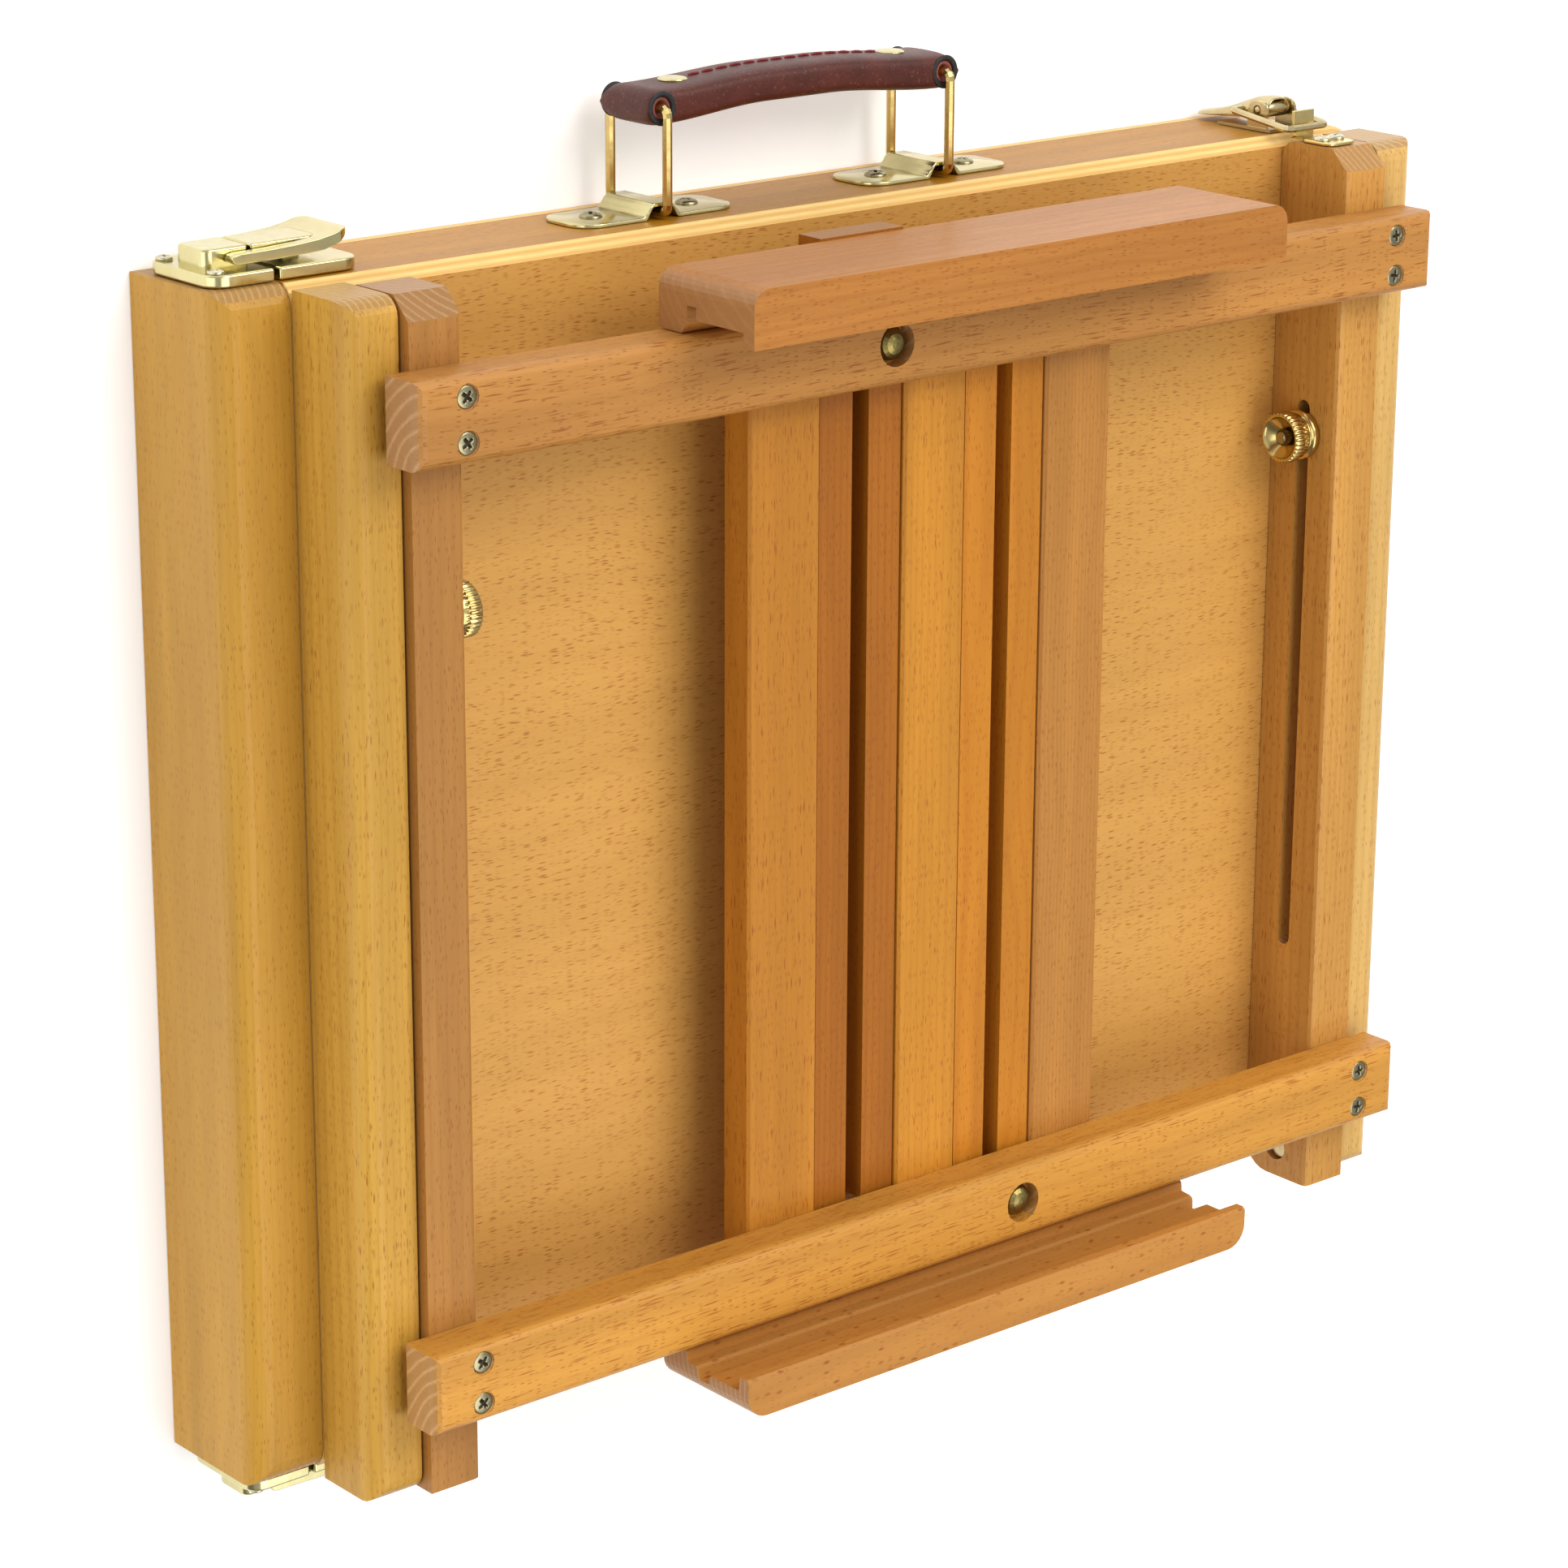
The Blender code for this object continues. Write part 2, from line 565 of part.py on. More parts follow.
def make_hinge_pin(name, side):
    head = rod(f"join_pin_head_{name}", (side * (ARM_IN + 2), HINGE_Y, HINGE_Z),
               (side * (ARM_IN + 5), HINGE_Y, HINGE_Z), 4.8)
    pin = rod(f"hinge_pin_{name}", (side * (ARM_IN + 4), HINGE_Y, HINGE_Z),
              (side * (RAIL_IN + 14), HINGE_Y, HINGE_Z), PIN_R, "brass_antique")
    return join(pin, head)


def make_strut(name, side):
    """A flat strut with a pivot stub into the side rail and a stud through the arm's slot."""
    low, high = sorted((side * STRUT_IN, side * STRUT_OUT))
    outline = stadium(STRUT_Y - STRUT_HALF, STUD_Y + STRUT_HALF, HINGE_Z, STRUT_HALF)
    strut = plate(f"tilt_strut_{name}", outline, low, high, FACE_X, "steel_zinc")
    middle = (STRUT_IN + STRUT_OUT) / 2
    stub = rod(f"join_stub_{name}", (side * middle, STRUT_Y, HINGE_Z),
               (side * (RAIL_IN + 12), STRUT_Y, HINGE_Z), PIN_R)
    stud = rod(f"join_stud_{name}", (side * middle, STUD_Y, HINGE_Z),
               (side * (ARM_IN - 9), STUD_Y, HINGE_Z), PIN_R)
    return join(strut, stub, stud)


def make_lock_knob(name, side):
    """A knurled brass nut on the stud, its washer face towards the arm."""
    profile = [(5.2, 13.0), (7.4, 13.0), (8.6, 10.6), (9.75, 10.0), (9.75, 3.4), (6.8, 3.0), (6.8, 2.0),
               (8.6, 1.6), (8.6, 0.4), (2.9, 0.4), (2.9, 9.5)]
    place = along_x(side * ARM_IN, STUD_Y, HINGE_Z, -side)
    return turned(f"lock_knob_{name}", profile, place, "brass_gold", 24, ring=True)


# ---------------------------------------------------------------- handle

def make_handle_bracket(name, x):
    """A brass plate bent over the loop's foot, with two screw heads."""
    base, thick = GAP, 1.2
    upper = [(-34.5, base + thick), (-8, base + thick), (-4.2, 5.9), (4.2, 5.9), (8, base + thick),
             (34.5, base + thick)]
    lower = [(34.5, base), (7.2, base), (3.6, 4.7), (-3.6, 4.7), (-7.2, base), (-34.5, base)]
    points = [(x + u, CASE_Y + h) for u, h in upper + lower]
    low, high = HANDLE_Z - 13.2, HANDLE_Z + 13.2
    corners = [on(x=x + end * 34.5, z=z) for end in (-1, 1) for z in (low, high)]
    bracket = plate(f"handle_bracket_{name}", points, low, high, FACE_Z, "brass_bright",
                    [(9.0, 5, *corners)])
    heads = [rod(f"join_bracket_screw_{name}_{i}", (x + off, CASE_Y + 1.0, HANDLE_Z),
                 (x + off, CASE_Y + 3.2, HANDLE_Z), 4.0, segments=16) for i, off in enumerate((-21, 21))]
    return join(bracket, *heads)


def make_handle_loop(name, x):
    corners = [(x, LOOP_LOW, HANDLE_Z - LOOP_HALF), (x, LOOP_HIGH, HANDLE_Z - LOOP_HALF),
               (x, LOOP_HIGH, HANDLE_Z + LOOP_HALF), (x, LOOP_LOW, HANDLE_Z + LOOP_HALF)]
    return wire(f"handle_loop_{name}", rounded_path(corners, 3.0, True), WIRE_R, True, "brass_gold")


def make_grip():
    """The leather grip: an arched band with an eye round each loop's top bar."""
    stations = [(-71, 4.0, 5.0), (-64.5, 6.3, 6.3), (-52, 6.2, 7.6), (-20, 3.6, 10.4), (20, 3.6, 10.4),
                (52, 6.2, 7.6), (64.5, 6.3, 6.3), (71, 4.0, 5.0)]
    top = [(HANDLE_MID + u, LOOP_HIGH + high) for u, _, high in stations]
    bottom = [(HANDLE_MID + u, LOOP_HIGH - low) for u, low, _ in reversed(stations)]
    low, high = HANDLE_Z - 13.4, HANDLE_Z + 13.4
    grip = plate("handle_grip", top + bottom, low, high, FACE_Z, "leather")
    eyes = [rod(f"cut_eye_{end}", (HANDLE_MID + end * LOOP_OFF, LOOP_HIGH, low - 5),
                (HANDLE_MID + end * LOOP_OFF, LOOP_HIGH, high + 5), 3.0) for end in (-1, 1)]
    return cut(grip, *eyes)


# ---------------------------------------------------------------- latches

def latch_height(side, height):
    """Y of a height above the long board on that side."""
    return side * (CASE_Y + height)


def latch_box(name, side, x, half_z, heights, material=None, rounds=()):
    ys = sorted(latch_height(side, h) for h in heights)
    return box(name, (x[0], ys[0], LATCH_Z - half_z), (x[1], ys[1], LATCH_Z + half_z), material, rounds)


def make_drawer_latch(name, side):
    """A snap latch: body and lever on the drawer front, strike plate on the long board."""
    plate_h = (GAP, GAP + LATCH_PLATE)
    edge = -CASE_X - GAP
    pin_y = latch_height(side, LATCH_PIN_H)
    body = latch_box(f"latch_body_{name}", side, (LATCH_END_X, edge - 1.0), LATCH_HALF, plate_h, "brass_bright",
                     [(7.0, 4, *(on(x=LATCH_END_X, z=LATCH_Z + s * LATCH_HALF) for s in (-1, 1)))])
    block = latch_box(f"join_latch_block_{name}", side, BLOCK_X, BLOCK_HALF, (2.0, BLOCK_TOP))
    pin_hole = rod(f"cut_latch_pin_{name}", (LATCH_PIN_X, pin_y, LATCH_Z - LATCH_HALF),
                   (LATCH_PIN_X, pin_y, LATCH_Z + LATCH_HALF), 1.6, segments=16)
    cut(join(body, block), pin_hole)

    strike = latch_box(f"latch_strike_{name}", side, (edge + 1.0, STRIKE_END_X), LATCH_HALF, plate_h,
                       "brass_bright",
                       [(7.0, 4, *(on(x=STRIKE_END_X, z=LATCH_Z + s * LATCH_HALF) for s in (-1, 1)))])
    join(strike, latch_box(f"join_latch_nub_{name}", side, NUB_X, NUB_HALF, (2.0, NUB_TOP)))

    side_view = [(-260.2, 5.9), (-245, 5.9), (-230, 6.4), (-224.5, 6.8), (-219, 8.4), (-213.5, 11.2),
                 (-214.3, 13.2), (-220, 11.4), (-227, 10.2), (-245, 9.4), (-260.2, 9.3)]
    outline = [(x, latch_height(side, h)) for x, h in side_view]
    lever = plate(f"latch_lever_{name}", outline, LATCH_Z - LEVER_HALF, LATCH_Z + LEVER_HALF, FACE_Z,
                  "brass_bright")
    window = latch_box(f"cut_latch_window_{name}", side, (-262, WINDOW_END), WINDOW_HALF, (4.0, 14.0))
    tongue = latch_box(f"join_latch_tongue_{name}", side, TONGUE_X, BLOCK_HALF, (NUB_TOP + 0.4, BLOCK_TOP))
    pin = rod(f"join_latch_pin_{name}", (LATCH_PIN_X, pin_y, LATCH_Z - LEVER_HALF),
              (LATCH_PIN_X, pin_y, LATCH_Z + LEVER_HALF), 1.25, segments=16)
    cut(lever, window)
    join(lever, tongue, pin)
    return body, lever


def toggle_rod(name, half, height, z, radius):
    """A rod along X through the middle of the toggle."""
    y = CASE_Y + height
    return rod(name, (TOGGLE_X - half, y, z), (TOGGLE_X + half, y, z), radius, segments=16)


def make_toggle_base():
    """A plate with two ears for the lever's barrel."""
    base = box("toggle_base", (TOGGLE_X - BASE_HALF, CASE_Y + GAP, 18.0),
               (TOGGLE_X + BASE_HALF, CASE_Y + 1.5, 46.0), "brass_antique")
    low, high = (CASE_Y + 1.0, 33.0), (CASE_Y + 11.5, 43.0)
    ears = [box(f"join_ear_{side}", (TOGGLE_X + side * EAR_X - EAR_HALF, *low),
                (TOGGLE_X + side * EAR_X + EAR_HALF, *high),
                rounds=[(4.5, 4, on(y=high[0], z=low[1]), on(y=high[0], z=high[1]))])
            for side in (-1, 1)]
    return cut(join(base, *ears), toggle_rod("cut_toggle_pin", 12, TOGGLE_H, TOGGLE_Z, 1.9))


def make_toggle_lever():
    """The long finger lever, its pin in the base's ears and a cross hole for the bail."""
    side_view = [(2, 2.4), (2, 4.0), (12, 5.4), (24, 9), (33, 12.4), (39, 12.8), (42.5, 10.5), (42.5, 7.5),
                 (40, 5.4), (36, 4.6), (30, 3.9), (20, 3.2), (10, 2.6)]
    points = [(CASE_Y + h, z) for z, h in side_view]
    lever = plate("toggle_lever", points, TOGGLE_X - LEVER_SIDE, TOGGLE_X + LEVER_SIDE, FACE_X, "brass_antique")
    cut(lever, toggle_rod("cut_bail_hole", 12, BAIL_H, BAIL_Z, BAIL_R + 0.35))
    return join(lever, toggle_rod("join_toggle_pin", TOGGLE_PIN_HALF, TOGGLE_H, TOGGLE_Z, 1.5))


def make_toggle_bail():
    """The wire bail, from the lever's hole to a bar that hooks in front of the catch's flange."""
    bar_z = FLANGE_HIGH + 0.4 + BAIL_R
    tail = [(TOGGLE_X - BAIL_TAIL, CASE_Y + BAIL_H, BAIL_Z), (TOGGLE_X - BAIL_HALF, CASE_Y + BAIL_H, BAIL_Z),
            (TOGGLE_X - BAIL_HALF, CASE_Y + 3.2, bar_z)]
    other = [(2 * TOGGLE_X - x, y, z) for x, y, z in reversed(tail)]
    return wire("toggle_bail", rounded_path(tail + other, 2.6, False), BAIL_R, False, "brass_antique")


def make_toggle_catch():
    """The catch plate on the right arm's end, with an upright flange and two screw heads."""
    base, thick = STRIP_HIGH + GAP, 1.2
    left, right = TOGGLE_X - CATCH_HALF, TOGGLE_X + CATCH_HALF
    catch = box("toggle_catch", (left, base, FLANGE_LOW), (right, base + thick, CATCH_TOP), "brass_antique",
                [(4.0, 3, on(x=left, z=CATCH_TOP), on(x=right, z=CATCH_TOP))])
    flange = box("join_flange", (left, base + 0.4, FLANGE_LOW), (right, CASE_Y + 9.5, FLANGE_HIGH))
    heads = [rod(f"join_catch_screw_{side}", (TOGGLE_X + side * CATCH_SCREW_X, base + 1, CATCH_SCREW_Z),
                 (TOGGLE_X + side * CATCH_SCREW_X, base + 3.0, CATCH_SCREW_Z), 3.4, segments=16)
             for side in (-1, 1)]
    return join(catch, flange, *heads)


# ---------------------------------------------------------------- assembly

def build():
    drawer_top = make_case() - GAP / 2
    make_side_rails()
    drawer = make_drawer(drawer_top)
    for name, side in (("handle_side", 1), ("far_side", -1)):
        body, lever = make_drawer_latch(name, side)
        drawer.append(body)
        hang(f"latch_axis_{name}", (LATCH_PIN_X, latch_height(side, LATCH_PIN_H), LATCH_Z), lever)
    hang("drawer_slide", (-CASE_X, 0, 0), *drawer)

    screws, seats = make_rail_screws()
    frame = [*screws, *make_mast(), make_toggle_catch(),
             make_bolt("clamp_bolt", "upper"), make_bolt("tray_bolt", "lower")]
    frame += [make_cross_rail(level, seats) for level in CROSS_Y]
    frame += [make_arm(name, side, seats) for name, side in (("left", -1), ("right", 1))]
    hang("frame_hinge", (0, HINGE_Y, HINGE_Z), *frame)
    hang("clamp_slide", (-BAR_MID, CROSS_Y["upper"], BAR_TOP), *make_clamp())
    hang("tray_slide", (BAR_MID, CROSS_Y["lower"], BAR_TOP), *make_tray())
    for name, level in (("clamp_nut", "upper"), ("tray_nut", "lower")):
        make_bolt_nut(name, level)

    for name, side in (("left", -1), ("right", 1)):
        make_hinge_pin(name, side)
        hang(f"strut_axis_{name}", (side * RAIL_IN, STRUT_Y, HINGE_Z), make_strut(name, side))
        make_lock_knob(name, side)
        x = HANDLE_MID + side * LOOP_OFF
        make_handle_bracket(name, x)
        hang(f"loop_axis_{name}", (x, LOOP_LOW, HANDLE_Z), make_handle_loop(name, x))
    hang("grip_axis", (HANDLE_MID - LOOP_OFF, LOOP_HIGH, HANDLE_Z), make_grip())

    make_toggle_base()
    hang("toggle_axis", (TOGGLE_X, CASE_Y + TOGGLE_H, TOGGLE_Z), make_toggle_lever())
    hang("bail_axis", (TOGGLE_X, CASE_Y + BAIL_H, BAIL_Z), make_toggle_bail())


clear_scene()
PARTS = new_collection("french_box_easel")
CUTTERS = new_collection("cutters")
MATERIALS = make_materials()
build()
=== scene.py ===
"""Looks of the table-top French box easel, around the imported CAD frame.

The frame's axes: +X is the case's closed end, +Y the handle side and +Z out of the lid. The frame, the camera and
the lights are in metres. The pieces here are written in millimetres, which make_piece turns into metres.
"""
import math

import bmesh
import bpy
from mathutils import Matrix, Vector


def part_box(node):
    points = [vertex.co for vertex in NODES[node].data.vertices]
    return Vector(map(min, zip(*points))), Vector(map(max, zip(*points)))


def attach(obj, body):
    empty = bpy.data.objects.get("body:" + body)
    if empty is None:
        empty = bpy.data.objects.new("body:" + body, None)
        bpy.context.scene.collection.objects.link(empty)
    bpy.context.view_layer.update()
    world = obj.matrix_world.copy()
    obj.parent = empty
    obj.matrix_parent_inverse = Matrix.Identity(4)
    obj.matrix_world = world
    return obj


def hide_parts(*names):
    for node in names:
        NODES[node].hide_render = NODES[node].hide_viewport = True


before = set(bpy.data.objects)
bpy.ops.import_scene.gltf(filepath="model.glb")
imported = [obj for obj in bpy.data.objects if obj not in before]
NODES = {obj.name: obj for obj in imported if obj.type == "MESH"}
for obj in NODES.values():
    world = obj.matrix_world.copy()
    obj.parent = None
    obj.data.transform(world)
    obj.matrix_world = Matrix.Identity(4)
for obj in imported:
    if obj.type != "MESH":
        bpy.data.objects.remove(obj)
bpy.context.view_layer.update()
MM = 0.001


# ---------------------------------------------------------------- camera, floor and light

CAMERA_PLACE = (-1.0615, 0.5030, 1.2626)
CAMERA_RIGHT, CAMERA_UP = (0.7655, 0.0046, 0.6435), (0.1915, 0.9530, -0.2347)
CAMERA_LENS, CAMERA_SENSOR, CAMERA_REACH = 106.25, 36.0, 20.0

FLOOR_HALF, FLOOR_DROP = 12.0, 0.0005
FLOOR_GREY, FLOOR_GLOW = 0.95, 0.30

# the room is brighter the more a direction leans this way, by the greys of SKY_STEPS
SKY_LEAN, SKY_SHIFT = (0.10, 0.42, 0.45), 0.5
SKY_DARKEST, SKY_LIGHTEST = 0.16, 1.0
SKY_STEPS = ((0.42, 0.26), (0.52, 0.62), (0.70, 0.72), (0.82, 0.50), (0.90, 0.95))
SKY_STRENGTH, BACKDROP_GREY = 0.72, 0.82

# name, place, target, size, watts and colour
LIGHTS = (
    ("key", (0.55, 1.5, 1.9), (0, 0, 0.05), (1.6, 1.2), 30.0, (1.0, 0.99, 0.97)),
    ("side_fill", (-2.2, 0.1, 0.75), (-0.2, 0, 0.05), (1.2, 1.6), 11.0, (1.0, 1.0, 1.0)),
    ("front_fill", (0.1, -0.9, 2.2), (0, -0.1, 0.05), (1.8, 1.8), 21.0, (1.0, 1.0, 1.0)),
)


def make_camera():
    data = bpy.data.cameras.new("camera")
    data.sensor_width = CAMERA_SENSOR
    data.lens = CAMERA_LENS
    data.clip_end = CAMERA_REACH
    camera = bpy.data.objects.new("camera", data)
    bpy.context.scene.collection.objects.link(camera)
    right, up = Vector(CAMERA_RIGHT), Vector(CAMERA_UP)
    back = right.cross(up).normalized()
    up = back.cross(right).normalized()
    turn = Matrix((right.normalized(), up, back)).transposed()
    camera.matrix_world = Matrix.Translation(CAMERA_PLACE) @ turn.to_4x4()
    bpy.context.scene.camera = camera


def make_light(name, place, target, size, power, colour):
    data = bpy.data.lights.new(name, "AREA")
    data.shape = "RECTANGLE"
    data.size, data.size_y = size
    data.energy = power
    data.color = colour
    light = bpy.data.objects.new(name, data)
    bpy.context.scene.collection.objects.link(light)
    place, target = Vector(place), Vector(target)
    light.location = place
    light.rotation_mode = "QUATERNION"
    light.rotation_quaternion = (target - place).to_track_quat("-Z", "Y")
    light.visible_camera = False


def grey(level):
    return (level, level, level, 1.0)


def make_floor():
    half = FLOOR_HALF
    mesh = bpy.data.meshes.new("floor")
    mesh.from_pydata([(-half, -half, 0), (half, -half, 0), (half, half, 0), (-half, half, 0)], [], [(0, 1, 2, 3)])
    floor = bpy.data.objects.new("floor", mesh)
    bpy.context.scene.collection.objects.link(floor)
    floor.location.z = -FLOOR_DROP
    paint = bpy.data.materials.new("floor_paper")
    paint.use_nodes = True
    shader = paint.node_tree.nodes["Principled BSDF"]
    shader.inputs["Base Color"].default_value = grey(FLOOR_GREY)
    shader.inputs["Roughness"].default_value = 0.9
    shader.inputs["Specular IOR Level"].default_value = 0.1
    shader.inputs["Emission Color"].default_value = grey(1.0)
    shader.inputs["Emission Strength"].default_value = FLOOR_GLOW
    mesh.materials.append(paint)


def make_room():
    """A graded grey room that lights and reflects, and an even backdrop where the camera looks past the floor."""
    world = bpy.data.worlds.new("studio")
    bpy.context.scene.world = world
    world.use_nodes = True
    tree = world.node_tree
    tree.nodes.clear()
    out = tree.nodes.new("ShaderNodeOutputWorld")
    room, backdrop = (tree.nodes.new("ShaderNodeBackground") for _ in range(2))
    choose = tree.nodes.new("ShaderNodeMixShader")
    rays = tree.nodes.new("ShaderNodeLightPath")
    coords = tree.nodes.new("ShaderNodeTexCoord")
    lean = tree.nodes.new("ShaderNodeVectorMath")
    ramp = tree.nodes.new("ShaderNodeValToRGB")
    lean.operation = "DOT_PRODUCT"
    lean.inputs[1].default_value = SKY_LEAN
    tree.links.new(coords.outputs["Generated"], lean.inputs[0])
    shift = tree.nodes.new("ShaderNodeMath")
    shift.inputs[1].default_value = SKY_SHIFT
    tree.links.new(lean.outputs["Value"], shift.inputs[0])
    tree.links.new(shift.outputs[0], ramp.inputs["Fac"])
    tree.links.new(ramp.outputs["Color"], room.inputs["Color"])
    tree.links.new(rays.outputs["Is Camera Ray"], choose.inputs["Fac"])
    tree.links.new(room.outputs[0], choose.inputs[1])
    tree.links.new(backdrop.outputs[0], choose.inputs[2])
    tree.links.new(choose.outputs[0], out.inputs["Surface"])
    stops = ramp.color_ramp.elements
    stops[0].position, stops[0].color = 0.0, grey(SKY_DARKEST)
    stops[1].position, stops[1].color = 1.0, grey(SKY_LIGHTEST)
    for position, level in SKY_STEPS:
        stops.new(position).color = grey(level)
    room.inputs["Strength"].default_value = SKY_STRENGTH
    backdrop.inputs["Color"].default_value = grey(BACKDROP_GREY)
    backdrop.inputs["Strength"].default_value = 1.0


def make_stage():
    make_floor()
    make_room()
    for light in LIGHTS:
        make_light(*light)
    bpy.context.scene.view_settings.view_transform = "Standard"


# ---------------------------------------------------------------- materials

class Paint:
    """A material's node tree, with one short call for each kind of node."""

    def __init__(self, name):
        self.material = bpy.data.materials.new(name)
        self.material.use_nodes = True
        self.tree = self.material.node_tree
        self.tree.nodes.clear()
        self.shader = self.tree.nodes.new("ShaderNodeBsdfPrincipled")
        out = self.tree.nodes.new("ShaderNodeOutputMaterial")
        self.tree.links.new(self.shader.outputs[0], out.inputs[0])
        self.coords = self.tree.nodes.new("ShaderNodeTexCoord")
        self.place, self.normal = self.coords.outputs["Object"], self.coords.outputs["Normal"]

    def put(self, socket, value):
        if isinstance(value, bpy.types.NodeSocket):
            self.tree.links.new(value, socket)
        elif isinstance(value, (tuple, list)) and len(value) == 3 and socket.type == "RGBA":
            socket.default_value = (*value, 1.0)
        else:
            socket.default_value = value

    def set(self, **values):
        for key, value in values.items():
            self.put(self.shader.inputs[key.replace("_", " ")], value)

    def math(self, operation, a, b=0.0):
        node = self.tree.nodes.new("ShaderNodeMath")
        node.operation = operation
        self.put(node.inputs[0], a)
        self.put(node.inputs[1], b)
        return node.outputs[0]

    def plus(self, a, b):
        return self.math("ADD", a, b)

    def minus(self, a, b):
        return self.math("SUBTRACT", a, b)

    def times(self, a, b):
        return self.math("MULTIPLY", a, b)

    def swing(self, phase):
        """A sine wave between 0 and 1."""
        return self.times(self.plus(self.math("SINE", phase), 1.0), 0.5)

    def step(self, value, low, high):
        """0 below low, 1 above high, smooth between."""
        node = self.tree.nodes.new("ShaderNodeMapRange")
        node.interpolation_type = "SMOOTHSTEP"
        self.put(node.inputs["Value"], value)
        node.inputs["From Min"].default_value, node.inputs["From Max"].default_value = low, high
        return node.outputs[0]

    def join(self, x, y, z):
        node = self.tree.nodes.new("ShaderNodeCombineXYZ")
        for socket, value in zip(node.inputs, (x, y, z)):
            self.put(socket, value)
        return node.outputs[0]

    def split(self, vector):
        node = self.tree.nodes.new("ShaderNodeSeparateXYZ")
        self.put(node.inputs[0], vector)
        return node.outputs

    def length(self, vector):
        node = self.tree.nodes.new("ShaderNodeVectorMath")
        node.operation = "LENGTH"
        self.put(node.inputs[0], vector)
        return node.outputs["Value"]

    def stretch(self, along, across, through, cells_along, cells_across):
        """A place whose axes are scaled to so many cells a metre along the fibres and across them."""
        return self.join(self.times(along, cells_along), self.times(across, cells_across),
                         self.times(through, cells_across))

    def noise(self, vector, scale=1.0, detail=2.0, rough=0.5):
        node = self.tree.nodes.new("ShaderNodeTexNoise")
        self.put(node.inputs["Vector"], vector)
        node.inputs["Scale"].default_value = scale
        node.inputs["Detail"].default_value = detail
        node.inputs["Roughness"].default_value = rough
        return node.outputs[0]

    def cells(self, vector, scale=1.0):
        """The distance from each cell's centre, and a number that is random from cell to cell."""
        node = self.tree.nodes.new("ShaderNodeTexVoronoi")
        self.put(node.inputs["Vector"], vector)
        node.inputs["Scale"].default_value = scale
        return node.outputs["Distance"], self.split(node.outputs["Color"])[0]

    def specks(self, vector, core, rim, rare, common):
        """A speck in the middle of each cell whose random number is high enough."""
        distance, pick = self.cells(vector)
        return self.times(self.minus(1.0, self.step(distance, core, rim)), self.step(pick, rare, common))

    def mix(self, share, a, b):
        node = self.tree.nodes.new("ShaderNodeMix")
        node.data_type = "RGBA"
        self.put(node.inputs["Factor"], share)
        self.put(node.inputs[6], a)
        self.put(node.inputs[7], b)
        return node.outputs[2]

    def bump(self, height, distance, strength):
        node = self.tree.nodes.new("ShaderNodeBump")
        self.put(node.inputs["Height"], height)
        node.inputs["Distance"].default_value = distance
        node.inputs["Strength"].default_value = strength
        self.put(self.shader.inputs["Normal"], node.outputs[0])


def shade(colour, factor):
    return tuple(c * factor for c in colour)


SEED_ACROSS = 0.37      # a board's seed moves it this much across the grain for each unit along it
DASH_LENGTH, DASH_CELLS, DASH_SHIFT = 3.4, 1400.0, 3.7
PLY_THICKNESS = 0.0021


